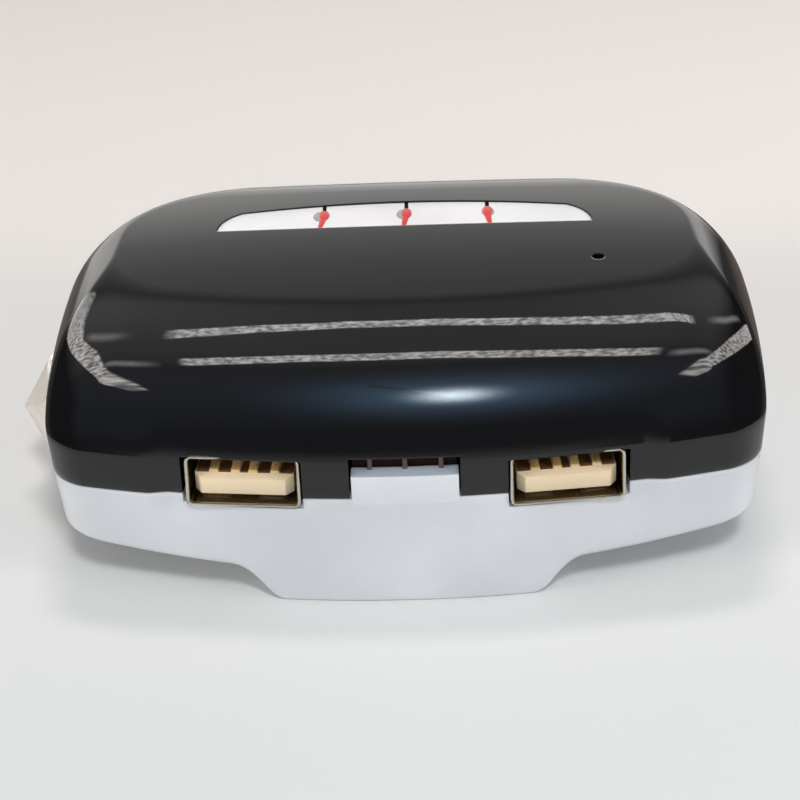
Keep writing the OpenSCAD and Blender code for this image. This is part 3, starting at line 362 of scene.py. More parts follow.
DRAWN, SMOOTH_LIFT, GLOSS = (0.2, 1.0, 1.0), 0.000006, (0.16, 0.24)
MATS = {
    "cover": plain("cover gloss black", (0.0052, 0.0054, 0.0062), (0.014, 0.032),
                   grain=420.0, lift=0.000004, strength=0.10, edge=0.00022),
    # The ribs are white shell plastic; their dark colour is painted shade of the slot.
    "ribs": plain("ribs in painted shade", (0.10, 0.068, 0.066), (0.3, 0.4), lift=SMOOTH_LIFT),
    # Brown sheet laid on the cream tongue's top: painted shade under the socket's roof.
    "bed": plain("tongue top in painted shade", (0.16, 0.085, 0.035), (0.3, 0.42), grain=1400.0, lift=0.000008),
    "slope": plain("tab slope in shade", (0.36, 0.42, 0.48), GLOSS, grain=700.0, lift=SMOOTH_LIFT),
    # Darker, browner copy of the socket nickel for the shell's inner face and its spring fingers: painted
    # shade inside the socket, with the cream tongue's warm reflection painted in.
    "lining": plain("socket inner face in painted shade", (0.36, 0.27, 0.15), (0.20, 0.34), 1.0,
                    grain=1500.0, stretch=DRAWN, lift=0.000008),
    "tab": plain("tab gloss white", (0.66, 0.70, 0.75), GLOSS, grain=700.0, lift=SMOOTH_LIFT, strength=0.10),
    "shell": plain("shell gloss white", (0.59, 0.63, 0.68), GLOSS,
                   grain=700.0, lift=SMOOTH_LIFT, strength=0.10, edge=0.00018),
    "nickel_sheet": plain("socket nickel", (0.63, 0.585, 0.50), (0.22, 0.36), 1.0,
                          grain=1500.0, stretch=DRAWN, lift=0.000008, edge=0.00008),
    "tongue": plain("tongue cream plastic", (0.74, 0.62, 0.43), (0.38, 0.5),
                    grain=1600.0, lift=0.00001, edge=0.00006),
    "contact": plain("contact gold", (0.86, 0.62, 0.30), (0.24, 0.36), 0.35, grain=1800.0, lift=0.00001),
    "plug_nickel": plain("plug nickel", (0.84, 0.81, 0.77), (0.26, 0.36), 0.45,
                         grain=1500.0, lift=SMOOTH_LIFT),
    "plug_plastic": plain("plug black plastic", (0.020, 0.020, 0.022), (0.30, 0.42),
                          grain=1400.0, edge=0.00015),
    "diffuser": plain("window white plate", (0.875, 0.88, 0.90), (0.50, 0.56), lift=SMOOTH_LIFT, edge=0.0002),
    "lens": plain("light red lens and painted glow", (0.62, 0.03, 0.02), (0.35, 0.45), lift=0.000004),
    "clear_lens": plain("clear light", (0.33, 0.31, 0.32), (0.3, 0.4)),
    "dark_strip": plain("receiver dark red", (0.024, 0.009, 0.008), (0.45, 0.6)),
    "board": finish_of("board green", (0.015, 0.10, 0.035), (0.025, 0.15, 0.055), (0.3, 0.42), tone=900.0),
    "chip": plain("chip epoxy", (0.016, 0.017, 0.018), (0.45, 0.6), grain=4000.0),
    "steel": plain("steel", (0.56, 0.57, 0.59), (0.2, 0.34), 1.0, grain=1600.0, stretch=(1.0, 1.0, 0.2)),
    "spring_steel": plain("spring steel", (0.42, 0.44, 0.47), (0.2, 0.3), 1.0, grain=2200.0),
    "receiver": plain("receiver epoxy", (0.020, 0.018, 0.020), (0.3, 0.45), grain=3000.0, lift=0.00001),
    "can": plain("can tinned steel", (0.60, 0.61, 0.62), (0.25, 0.4), 1.0, grain=1200.0),
    "copper": plain("enamelled copper", (0.62, 0.27, 0.10), (0.2, 0.3), 1.0, grain=2600.0),
    "ferrite": plain("ceramic", (0.30, 0.27, 0.23), (0.5, 0.65), grain=2400.0),
    "glass": plain("fuse glass", (0.62, 0.66, 0.66), (0.05, 0.1), coat=0.8),
    "lead": plain("lead sleeve red", (0.45, 0.02, 0.015), (0.35, 0.5), grain=2400.0),
    "washer": plain("washer nylon", (0.70, 0.66, 0.48), (0.4, 0.55), grain=2000.0),
}
MATS["dark_strip"].node_tree.nodes["Principled BSDF"].inputs["Specular IOR Level"].default_value = 0.10

NODE_MATS = {
    "led_left": "lens", "led_middle": "lens", "led_right": "lens", "status_led": "clear_lens",
    "ir_window": "dark_strip", "ir_receiver": "receiver",
    "main_board": "board", "controller_chip": "chip", "radio_module": "can", "crystal": "can",
    "power_inductor": "ferrite", "capacitors": "can", "regulator": "chip", "power_diode": "chip",
    "aerial_coil": "copper", "shell_screws": "steel",
    "plug_half_front": "plug_plastic", "plug_half_rear": "plug_plastic", "plug_screws": "steel",
    "tip_spring": "spring_steel", "fuse": "glass", "fuse_contact": "contact",
    "earth_contact_front": "plug_nickel", "earth_contact_rear": "plug_nickel",
    "hinge_pin": "steel", "hinge_washers": "washer", "plug_leads": "lead", "supply_leads": "lead",
}


def dress(obj, name):
    obj.data.materials.clear()
    obj.data.materials.append(MATS[name])
    for poly in obj.data.polygons:
        poly.material_index = 0


def dress_slope(obj, name, over_m=0.016, tilt=0.6):
    """Second material, a painted shade, on the faces that look up, over a height."""
    obj.data.materials.append(MATS[name])
    for poly in obj.data.polygons:
        if poly.normal.z > tilt and poly.center.z > over_m:
            poly.material_index = 1


# Skin of the body, from rings of the same columns
def ease(t):
    t = np.clip(t, 0, 1)
    return t * t * (3 - 2 * t)


def column_shares(*runs):
    """Shares from 0 to 1 of the front's straight run, from runs of (end in mm at the seam, count)."""
    ends = [0.0]
    for end, count in runs:
        ends += list(np.linspace(ends[-1], end, count + 1)[1:])
    return np.array(ends) / runs[-1][0]


# Both shells have close columns where their skin is cut or turns
COVER_SHARES = column_shares((12.0, 12), (25.0, 16), (31.5, 22), (36.2, 8))
SHELL_SHARES = column_shares((12.0, 12), (22.5, 42), (26.0, 5), (30.5, 14), (36.2, 8))


def ring(shares, w, fy, by, rf, rb, step):
    """Right half of a plan ring as x, front y and back y of its columns. w is the half width, fy and by the
    middle of front and back, rf and rb the corner radii and step the front's step beside the sockets."""
    lean = math.atan(2 * BULGE * (w - rf) / w ** 2)
    x_run = w - rf * (1 - math.sin(lean))

    def front(x):
        return fy + BULGE * (x / w) ** 2 - step * ease((x - STEP_X) / STEP_RUN + 0.5)

    y_centre = float(front(np.array(x_run))) + rf * math.cos(lean)
    a = np.linspace(-math.pi / 2 + lean, 0, CORNER_POINTS + 1)[1:]
    x = np.concatenate([shares * x_run, w - rf + rf * np.cos(a)])
    y_front = np.concatenate([front(shares * x_run), y_centre + rf * np.sin(a)])
    lean = math.atan(2 * BACK_BULGE * (w - rb) / w ** 2)
    x_run = w - rb * (1 - math.sin(lean))
    y_centre = by - BACK_BULGE * (x_run / w) ** 2 - rb * math.cos(lean)
    corner = y_centre + np.sqrt(np.maximum(0, rb ** 2 - (x - (w - rb)) ** 2))
    return x, y_front, np.where(x <= x_run, by - BACK_BULGE * (x / w) ** 2, corner)


def whole(values, sign=1):
    """Values from the middle to the right end, with their mirror image before them."""
    return np.concatenate([sign * values[:0:-1], values])


def ring_points(r, z_of):
    """All points of a ring, anticlockwise from the left end of the front, with z_of(x, y)."""
    x, y_front, y_back = whole(r[0], -1), whole(r[1]), whole(r[2])
    front, back = np.stack([x, y_front], 1), np.stack([x, y_back], 1)
    t = np.linspace(0, 1, SIDE_POINTS + 1)[1:-1, None]
    right = front[-1] * (1 - t) + back[-1] * t
    left = front[0] * (1 - t) + back[0] * t
    p = np.concatenate([front, right, back[::-1], left[::-1]])
    return np.column_stack([p, z_of(p[:, 0], p[:, 1])])


def cap_points(r, z_of):
    """Inner points of a cap, column by column."""
    x, y_front, y_back = (c[1:-1, None] for c in (whole(r[0], -1), whole(r[1]), whole(r[2])))
    t = np.linspace(0, 1, SIDE_POINTS + 1)[None, 1:-1]
    y = y_front * (1 - t) + y_back * t
    x = np.repeat(x, SIDE_POINTS - 1, 1)
    return np.column_stack([x.ravel(), y.ravel(), z_of(x.ravel(), y.ravel())])


def cap_faces(r, start, base):
    """Quads of a cap whose rim starts at point start and whose inner points start at base."""
    n, m = 2 * len(r[0]) - 1, SIDE_POINTS
    g = np.zeros((n, m + 1), int)
    g[:, 0] = start + np.arange(n)
    g[-1, 1:m] = start + n + np.arange(m - 1)
    g[:, m] = start + n + (m - 1) + np.arange(n)[::-1]
    g[0, 1:m] = start + 2 * n + (m - 1) + np.arange(m - 1)[::-1]
    g[1:-1, 1:m] = base + np.arange((n - 2) * (m - 1)).reshape(n - 2, m - 1)
    return list(zip(g[:-1, :-1].ravel(), g[1:, :-1].ravel(), g[1:, 1:].ravel(), g[:-1, 1:].ravel()))


def skin(name, stack, first, last):
    """Closed skin over a stack [(ring, z_of)], with caps whose z_of are first and last."""
    rows = [ring_points(r, z_of) for r, z_of in stack]
    n = len(rows[0])
    low_cap, high_cap = cap_points(stack[0][0], first), cap_points(stack[-1][0], last)
    points = np.concatenate(rows + [low_cap, high_cap])
    points[:, 0] *= 1 + BOW / HALF_W * (1 - (points[:, 1] / BACK) ** 2)
    faces = row_faces(len(rows), n)
    faces += cap_faces(stack[0][0], 0, len(rows) * n)
    faces += cap_faces(stack[-1][0], (len(rows) - 1) * n, len(rows) * n + len(low_cap))
    return mesh_obj(name, points, [tuple(int(i) for i in face) for face in faces])


def flat(z):
    return lambda x, y: np.full(np.shape(x), float(z))


def seam_ring(shares, inset, z):
    """Ring at the seam, drawn in from the full skin."""
    r = ring(shares, HALF_W - SKIRT - inset, FRONT + inset, BACK - SKIRT - inset, CORNER_F, CORNER_B, STEP)
    return r, flat(z)


# Cover
def roll_angle(up):
    """Angle of the roll-off at a share of its height."""
    return math.asin(min(1.0, math.sin(LEAN) + up * (1 - math.sin(LEAN))))


def roll_in(up):
    """How far the front has rolled in at a share of its height."""
    return ROLL_F * (math.cos(LEAN) - math.cos(roll_angle(up))) / math.cos(LEAN)


def softened(z):
    """How far the front has rolled in at height z, with the crease rounded."""
    over = z - CREASE_Z
    if over >= SOFT:
        return roll_in(min(1.0, over / (TOP_Z - CREASE_Z)))
    return roll_in(SOFT / (TOP_Z - CREASE_Z)) * (max(0.0, over + SOFT) / (2 * SOFT)) ** 2


def cover_ring(a, t, soft=False):
    """Ring of the roll-off at angle a, drawn in by t. soft rounds the crease."""
    inn = (math.cos(LEAN) - math.cos(a)) / math.cos(LEAN)
    up = (math.sin(a) - math.sin(LEAN)) / (1 - math.sin(LEAN))
    side = 1 - math.cos(math.pi / 2 * (a - LEAN) / (math.pi / 2 - LEAN))
    z = CREASE_Z + (TOP_Z - t - CREASE_Z) * up
    rolled = softened(z) if soft else ROLL_F * inn
    r = ring(COVER_SHARES, HALF_W - t - ROLL_S * side, FRONT + t + rolled, BACK - t - ROLL_B * side,
             CORNER_F + GROW_F * inn, CORNER_B - LOSS_B * side, STEP * max(0.0, 1 - up / STEP_UP_SHARE))
    return r, lambda x, y: z - CROWN * up * (x / HALF_W) ** 2


def wall_ring(z):
    """Ring of the cover's wall under the crease."""
    inset = SKIRT * (CREASE_Z - z) / (CREASE_Z - SEAM_Z)
    r = ring(COVER_SHARES, HALF_W - inset, FRONT + softened(z), BACK - inset, CORNER_F, CORNER_B, STEP)
    return r, flat(z)


def cover_levels():
    """Outer rings of the cover from the seam to the top, close together at the crease."""
    for z in (SEAM_Z + SEAM_IN, 15.0, 16.0, 17.0, 18.0, 18.45, 18.6, 18.75, 18.9, 19.05):
        yield wall_ring(z)
    for z in np.linspace(CREASE_Z, CREASE_Z + SOFT_TOP, 7):
        yield cover_ring(roll_angle((z - CREASE_Z) / (TOP_Z - CREASE_Z)), 0.0, True)
    start = roll_angle(SOFT_TOP / (TOP_Z - CREASE_Z))
    for k in range(1, ROLL_RINGS + 1):
        yield cover_ring(start + (math.pi / 2 - start) * k / ROLL_RINGS, 0.0)


def cover_skin():
    outer = list(cover_levels())
    seam = [seam_ring(COVER_SHARES, SEAM_IN, SEAM_Z), seam_ring(COVER_SHARES, SEAM_OUT, SEAM_Z + COVER_LIFT)]
    angles = [LEAN + (math.pi / 2 - LEAN) * k / INNER_RINGS for k in range(INNER_RINGS, -1, -1)]
    inner = [cover_ring(a, WALL) for a in angles] + [seam_ring(COVER_SHARES, WALL, SEAM_Z)]
    return skin("cover_skin", inner + seam + outer, inner[0][1], outer[-1][1])


def window_outline(g=0.0, end_steps=24, arc_steps=60):
    """Half-moon of the window, grown by g: round ends on a straight lower edge, and a flat arc over them."""
    core, r_end, low = WIN_HALF - WIN_END_R, WIN_END_R + g, WIN_LOW - g
    r = (core ** 2 + WIN_RISE ** 2) / (2 * WIN_RISE)

    def arc(x):
        return WIN_TOP - r + math.sqrt((r + g) ** 2 - x ** 2)

    right = [(x, min(max(y, low), arc(x))) for x, y in arc_points(core, WIN_LOW, r_end, 0, 90, end_steps)]
    top = [(x, arc(x)) for x in (core - 2 * core * i / arc_steps for i in range(1, arc_steps))]
    return right + top + [(-x, y) for x, y in reversed(right)]


def socket_cutter(side, depth=4.0, gap=0.2, notch=0.55):
    """Opening for a socket, with a wider gap at its outer end."""
    left = -USB_W / 2 - (notch if side < 0 else gap)
    right = USB_W / 2 + (notch if side > 0 else gap)
    low, high = MOUTH_LOW - 0.1, MOUTH_TOP - 0.28
    outline = [(left, low), (right, low), (right, high), (left, high)]
    return turned(prism("cutter", outline, -OVER - 1.0, depth, "y"), side)


def tunnel_outline(g, low, n=10):
    """Section of the tunnel, grown by g and open down to low."""
    w, r, top = TUNNEL_HALF + g, TUNNEL_R + g, TUNNEL_TOP + g
    points = [(-w, low), (w, low)] + arc_points(w - r, top - r, r, 0, 90, n)
    points += arc_points(-w + r, top - r, r, 90, 180, n)
    return [(PLUG_Y + y, z) for y, z in points]


def pocket_outline(g, low, n=24):
    """Round end of the tunnel over the plug's pivot, seen from the front."""
    r = BARREL_R + POCKET_GAP + g
    return [(POCKET_X, low), (r, low)] + arc_points(0.0, PLUG_Z, r, 0, 90, n) + [(POCKET_X, PLUG_Z + r)]


def add_cover(slot_half=6.25, slot_deep=4.0, eye=(23.9, 2.3, 0.8), tunnel_x=-38.2):
    """Cover with its socket openings, slot, window, pinhole and the end of the tunnel."""
    cover = cover_skin()
    over = TOP_Z - WALL - OVER
    cutters = [socket_cutter(side) for side in (-1, 1)]
    cutters.append(box("cutter", (-slot_half, FRONT - OVER, SEAM_Z - 1),
                       (slot_half, FRONT + slot_deep, CREASE_Z - 0.05)))
    cutters.append(prism("cutter", window_outline(), over, TOP_Z + OVER))
    cutters.append(prism("cutter", circle(*eye, 40), over, TOP_Z + OVER))
    cutters.append(prism("cutter", tunnel_outline(0.0, SEAM_Z - OVER), BEYOND_X, tunnel_x, "x"))
    boolean(cover, join(cutters, "cutters"))
    shade(cover)
    dress(cover, "cover")
    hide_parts("top_cover")
    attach(cover, "body")


# Bottom shell
def wing(x):
    return WING_Z + WING_RISE * (x / HALF_W) ** 2


def smooth_min(a, b, k):
    h = np.maximum(k - np.abs(a - b), 0) / k
    return np.minimum(a, b) - h * h * k / 4


def low_line(x):
    """Underside of the bottom shell: wings, slopes and the ridge."""
    slope = (np.abs(x) - RIDGE_HALF) * WING_Z / RIDGE_SLOPE
    foot = -smooth_min(-slope, np.zeros_like(slope), FOOT_BLEND)
    return smooth_min(foot, wing(x), WING_BLEND)


def edge_radius(x):
    """Radius of the lower edge: tight along the ridge, rounder under the wings."""
    return RIDGE_EDGE_R + (EDGE_R - RIDGE_EDGE_R) * ease((np.abs(x) - EDGE_FROM) / EDGE_RUN)


def inner_floor(x, y):
    return wing(x) + WALL


def edge_height(drop):
    """Height of a ring on the rounded lower edge, which drops from 0 to 1."""
    return lambda x, y: low_line(x) + edge_radius(x) * (1 - drop)


def shell_ring(k, inn=0.0, t=0.0):
    """Ring of the bottom shell: the share k from the seam to the lower edge and the share inn round it."""
    inset = SKIRT + DRAFT_S * k + EDGE_R * inn + t
    step = STEP * (1 - k)
    x, y_front, y_back = ring(SHELL_SHARES, HALF_W - inset, FRONT + t, BACK - inset, CORNER_F, CORNER_B, step)
    y_front = y_front + DRAFT_F * k + edge_radius(x) * inn
    edge = edge_height(0.0)
    return (x, y_front, y_back), lambda x, y: SEAM_Z + (edge(x, y) - SEAM_Z) * k


def shell_skin():
    rings = [shell_ring(k / SIDE_RINGS) for k in range(SIDE_RINGS + 1)]
    rings[0] = (rings[0][0], flat(SEAM_Z - SHELL_START))
    angles = [math.pi / 2 * i / EDGE_RINGS for i in range(1, EDGE_RINGS + 1)]
    edge = [(shell_ring(1.0, 1 - math.cos(a))[0], edge_height(math.sin(a))) for a in angles]
    seam = [seam_ring(SHELL_SHARES, SEAM_IN, SEAM_Z), seam_ring(SHELL_SHARES, SEAM_OUT, SEAM_Z - SHELL_DROP)]
    inner = [(shell_ring(1.0, 0.0, WALL)[0], inner_floor), seam_ring(SHELL_SHARES, WALL, SEAM_Z)]
    return skin("shell_skin", inner + seam + rings + edge, inner_floor, edge_height(1.0))


def add_tunnel(base, liner_x=-39.2, under_from=-41.0, under_to=-18.0):
    """Walls of the tunnel and of its pocket, joined to the shell, and the space inside them."""
    y0, y1 = PLUG_Y - TUNNEL_HALF, PLUG_Y + TUNNEL_HALF
    start = WING_Z + EDGE_R
    liner = prism("liner", tunnel_outline(TUNNEL_WALL, start), liner_x, 0.0, "x")
    under = [(float(x), float(low_line(x)) + 0.4) for x in np.linspace(under_from, under_to, 24)]
    under += [(under_to, 0.0), (under_from, 0.0)]
    boolean(liner, prism("cutter", under, y0 - 2 * TUNNEL_WALL, y1 + 2 * TUNNEL_WALL, "y"))
    boolean(base, liner, "UNION")
    pocket = prism("liner", pocket_outline(TUNNEL_WALL, start), y0 - TUNNEL_WALL, y1 + TUNNEL_WALL, "y")
    boolean(base, pocket, "UNION")
    boolean(base, prism("cutter", tunnel_outline(0.0, -OVER - 1.0), BEYOND_X, 0.0, "x"))
    boolean(base, prism("cutter", pocket_outline(0.0, -OVER - 1.0), y0, y1, "y"))


def add_base(lip_half=6.75, screw_r=2.5):
    """Bottom shell with its tunnel, socket openings and screw pits."""
    base = shell_skin()
    add_tunnel(base)
    boolean(base, join([socket_cutter(side) for side in (-1, 1)], "cutters"))
    low = -USB_H / 2 - 0.45
    lip = [(-lip_half, low), (lip_half, low), (lip_half, -1.0), (-lip_half, -1.0)]
    lips = [turned(prism("cutter", lip, -OVER - 1.0, PROUD + 0.5, "y"), side) for side in (-1, 1)]
    boolean(base, join(lips, "cutters"))
    pits = [circle(x, y, screw_r, 40) for x, y in ((-32.7, -20), (32.7, -20), (-28.2, 19), (28.2, 19))]
    pit_top = WING_Z + WING_RISE + 0.75
    boolean(base, join([prism("cutter", pit, -OVER, pit_top) for pit in pits], "cutters"))
    shade(base)
    dress(base, "shell")
    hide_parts("bottom_shell")
    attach(base, "body")


def add_tab(half=6.05, columns=15):
    """Raised tab in the slot: a slope up from the front and a level top."""
    high, low = CREASE_Z - 0.8, SEAM_Z - 0.8
    profile = [(0.0, low), (0.0, high - 1.42), (1.45, high - 1.05), (1.62, high - 1.05), (1.62, low)]
    rows = []
    for x in np.linspace(-half, half, columns):
        front = FRONT + BULGE * (x / (HALF_W - SKIRT)) ** 2
        rows.append([(x, front + dy, z) for dy, z in profile])
    tab = bevelled(loft("slot_tab", rows), 0.14, 3)
    dress(tab, "tab")
    # The tab's up-facing slope gets painted shade.
    dress_slope(tab, "slope")
    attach(tab, "body")


def add_ribs(half=0.27, low=16.6):
    """Three upright ribs behind the tab, of white shell plastic dressed dark as painted shade in the slot."""
    near, far, high = FRONT + 1.1, FRONT + 1.6, CREASE_Z + 0.3
    ribs = [box("rib", (x - half, near, low), (x + half, far, high)) for x in (-3.9, 0.05, 4.1)]
    ribs = join([bevelled(rib, 0.1, 2) for rib in ribs], "slot_ribs")
    dress(ribs, "ribs")
    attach(ribs, "body")


# Sockets, drawn round the origin with y going in from the mouth
def tube_ring(inset, y, corner=0.8, flare_run=1.7, tilt=0.11):
    """Section of the socket's shell at depth y: taller and tilted at the mouth."""
    flare = 1 - float(ease((y - MOUTH_Y) / flare_run))
    low = -USB_H / 2 + (MOUTH_LOW + USB_H / 2) * flare + inset
    top = USB_H / 2 + (MOUTH_TOP - USB_H / 2) * flare - inset
    middle = (top + low) / 2
    points = round_rect(USB_W - 2 * inset, top - low, max(0.3, corner - inset))
    return [(x, y + tilt * flare * (z + middle - MOUTH_LOW), z + middle) for x, z in points]


def socket_shell(word, depths=(0.8, 1.4, 2.2, USB_DEEP)):
    """Sheet metal shell: an outer and an inner wall joined by a rounded lip."""
    lip = ((0.0, 0.12), (0.15, 0.04), (0.34, 0.0), (0.66, 0.0), (0.85, 0.04), (1.0, 0.12))
    rows = [tube_ring(0.0, y) for y in reversed(depths)]
    rows += [tube_ring(share * USB_T, MOUTH_Y + back) for share, back in lip]
    rows += [tube_ring(USB_T, y) for y in depths]
    obj = tube("socket_shell_" + word, rows)
    shade(obj, 32.0)
    return obj


def socket_lining(word, depths=(0.55, 1.0, 1.4, 2.2, 8.0), thick=0.04, hole_x=3.2, hole_half=1.6):
    """Inner face of the shell with its spring windows and the sprung fingers in them."""
    rows = [tube_ring(USB_T, y) for y in depths] + [tube_ring(USB_T + thick, y) for y in reversed(depths)]
    lining = tube("lining", rows)
    holes = [box("cutter", (x - hole_half, 1.3, -4), (x + hole_half, 4.9, 4)) for x in (-hole_x, hole_x)]
    boolean(lining, join(holes, "cutters"))
    line = [(5.2, -0.05), (4.3, 0.0), (3.4, 0.22), (2.7, 0.36), (2.1, 0.26), (1.7, -0.02)]
    face = USB_H / 2 - USB_T
    springs = [strip("spring", x, line, -up * face, 1.15, 0.06, up)
               for x in (-hole_x, hole_x) for up in (1, -1)]
    obj = join([lining] + springs, "socket_lining_" + word)
    shade(obj, 32.0)
    return obj


def socket_tongue(word, cut=0.85, nose=0.3):
    """Tongue with cut front corners and a sloped nose, on its rear block."""
    w, y0 = TONGUE_W / 2, TONGUE_Y
    top = [(-w, TONGUE_END), (-w, y0 + 0.95), (-w + cut, y0), (w - cut, y0), (w, y0 + 0.95), (w, TONGUE_END)]
    tongue = prism("tongue", top, TONGUE_LOW, TONGUE_TOP)
    wedge = [(y0 - 1, TONGUE_TOP - nose), (y0, TONGUE_TOP - nose), (y0 + 1.0, TONGUE_TOP + 0.001),
             (y0 + 1.0, TONGUE_TOP + 1), (y0 - 1, TONGUE_TOP + 1)]
    boolean(tongue, prism("cutter", wedge, -9, 9, "x"))
    tongue = bevelled(tongue, 0.07, 2, 25.0)
    block = prism("block", round_rect(USB_W - 0.9, USB_H - 0.9, 0.45), TONGUE_END, USB_DEEP, "y")
    return join([tongue, block], "socket_tongue_" + word)


def socket_tongue_shade(word, end=5.55, gap=0.55):
    """Brown sheet on the tongue between its contact strips: painted shade of the tongue's top under the
    socket's roof.
    """
    edges = [-end] + [x + d for x in CONTACT_X for d in (-gap, gap)] + [end]
    beds = [box("bed", (a, TONGUE_Y + 1.02, TONGUE_TOP - 0.1), (b, TONGUE_END - 0.02, TONGUE_TOP + 0.035))
            for a, b in zip(edges[::2], edges[1::2])]
    return bevelled(join(beds, "socket_tongue_shade_" + word), 0.03, 2, 30.0)


def socket_contacts(word):
    """Four bowed contact strips on the tongue."""
    line = [(TONGUE_Y + 1.05, -0.1), (TONGUE_Y + 1.15, 0.14), (3.0, 0.3), (4.0, 0.62), (4.7, 0.72),
            (5.6, 0.45), (6.8, 0.05), (TONGUE_END, 0.05)]
    bars = [strip("bar", x, line, TONGUE_TOP, 0.5, 0.12) for x in CONTACT_X]
    return bevelled(join(bars, "socket_contacts_" + word), 0.04, 2, 30.0)


def add_socket(side, word):
    metal = turned(socket_shell(word), side)
    dress(metal, "nickel_sheet")
    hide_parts("usb_shell_" + word)
    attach(metal, "body")
    tongue = turned(socket_tongue(word), side)
    dress(tongue, "tongue")
    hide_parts("usb_tongue_" + word)
    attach(tongue, "body")
    # The inner face is dressed in the darker brown nickel of painted shade and painted reflection.
    lining = turned(socket_lining(word), side)
    dress(lining, "lining")
    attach(lining, "body")
    # The tongue's top gets a brown sheet of painted shade.
    bed = turned(socket_tongue_shade(word), side)
    dress(bed, "bed")
    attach(bed, "body")
    strips = turned(socket_contacts(word), side)
    dress(strips, "contact")
    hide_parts("usb_contacts_" + word)
    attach(strips, "body")


# Window plate and lights. LIGHTS holds each light's number and how far right its core, rim and tail's end lie
LIGHTS = ((-1, 0.35, -0.2025, -0.05), (0, 0.25, -0.18, -0.05), (1, 0.0, 0.054, 0.25))


def add_plate(notch_half=0.26):
    """White plate of the window with a notch over each light."""
    plate = prism("window_plate", window_outline(-0.05), PLATE_Z - PLATE_T, PLATE_Z)
    notches = []
    for i, core, _, _ in LIGHTS:
        x = i * LED_PITCH + core
        notches.append(box("cutter", (x - notch_half, LIGHT_Y + 1.0, PLATE_Z - 1.0),
                           (x + notch_half, WIN_TOP + 1, PLATE_Z + 1)))
    boolean(plate, join(notches, "cutters"))
    bevelled(plate, 0.06, 2)
    dress(plate, "diffuser")
    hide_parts("indicator_window")
    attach(plate, "body")


def dome(name, x, y, half_w, half_l, z, height, n=40, m=8):
    """Low oval dome on a short wall."""
    stations = [(1.0, z - 0.6)]
    for j in range(m + 1):
        a = math.pi / 2 * j / m
        stations.append((max(math.cos(a), 0.02), z + height * math.sin(a)))
    unit = circle(0.0, 0.0, 1.0, n)
    rows = [[(x + half_w * k * cx, y + half_l * k * cy, h) for cx, cy in unit] for k, h in stations]
    return loft(name, rows)


def tail_outline(x, core, tail):
    """A light's glow painted on the plate as a red strip, from its core to its narrow end at the window's
    lower edge.
    """
    end, y = WIN_LOW + 0.12, LIGHT_Y
    return [(x + tail - 0.26, end), (x + tail + 0.26, end), (x + core + 0.42, y - 0.9),
            (x + core + 0.4, y + 0.2), (x + core - 0.4, y + 0.2), (x + core - 0.5, y - 0.9)]


def add_lights():
    rims, cores = [], []
    for i, core, rim, tail in LIGHTS:
        x = i * LED_PITCH
        rims.append(dome("rim", x + rim, LIGHT_Y - 0.25, 0.98, 1.75, PLATE_Z - 0.12, 0.22))
        cores.append(dome("core", x + core, LIGHT_Y - 0.05, 0.72, 1.6, PLATE_Z - 0.06, 0.26))
        # The tail is the light's glow, painted as a red strip in the lens colour.
        glow = prism("tail", tail_outline(x, core, tail), PLATE_Z - 0.3, PLATE_Z + 0.06)
        cores.append(bevelled(glow, 0.05, 2))
    rims = join(rims, "light_rims")
    dress(rims, "clear_lens")
    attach(rims, "body")
    cores = join(cores, "light_cores")
    dress(cores, "lens")
    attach(cores, "body")


# Nose of the plug. Its profiles are (distance from the pivot, radius)
def add_nose_contact(skirt_r=6.9, r=6.5, cone_run=3.7, flat_r=0.2, turn=26.0):
    """Nickel nose: a skirt behind the collar's edge, a round shoulder and a shallow cone with a blunt end."""
    slope = math.degrees(math.atan2(r - flat_r, cone_run))
    profile = [(39.1, 0.0), (39.1, skirt_r), (39.96, skirt_r), (39.96, r)]
    profile += arc_points(REACH - cone_run - 0.25, r - 0.25, 0.25, 90, 90 - slope + turn, 5)
    profile += arc_points(REACH - 0.46, 0.0, 0.45, 90 - slope + turn, 10, 5) + [(REACH - 0.01, 0.0)]
    tip = lathe("nose_contact", profile)
    dress(tip, "plug_nickel")
    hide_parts("tip_contact")
    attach(tip, "tip")


def add_nose_collar(start=33.1, r=8.5, bore=7.35, mouth=6.6, groove=0.22, pitch=0.85):
    """Grooved black collar round the nose, with a lip that keeps the contact in."""
    end = REACH - 7.1
    profile = [(start, bore), (start, r - 0.3), (start + 0.3, r)]
    for k in range(6):
        s = start + 1.3 + k * pitch
        profile += [(s, r), (s + 0.12, r - groove), (s + 0.38, r - groove), (s + 0.5, r)]
    profile += [(end - 0.45, r)] + arc_points(end - 0.4, r - 0.4, 0.4, 90, 0, 5)
    profile += [(end, mouth), (40.0, mouth), (40.0, bore), (start, bore)]
    collar = lathe("nose_collar", profile)
    dress(collar, "plug_plastic")
    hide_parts("nose_ring")
    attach(collar, "plug")


def dress_nodes():
    """Materials of the CAD nodes that show as they are."""
    for node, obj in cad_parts.items():
        if node in NODE_MATS:
            obj.data.materials.clear()
            obj.data.materials.append(MATS[NODE_MATS[node]])


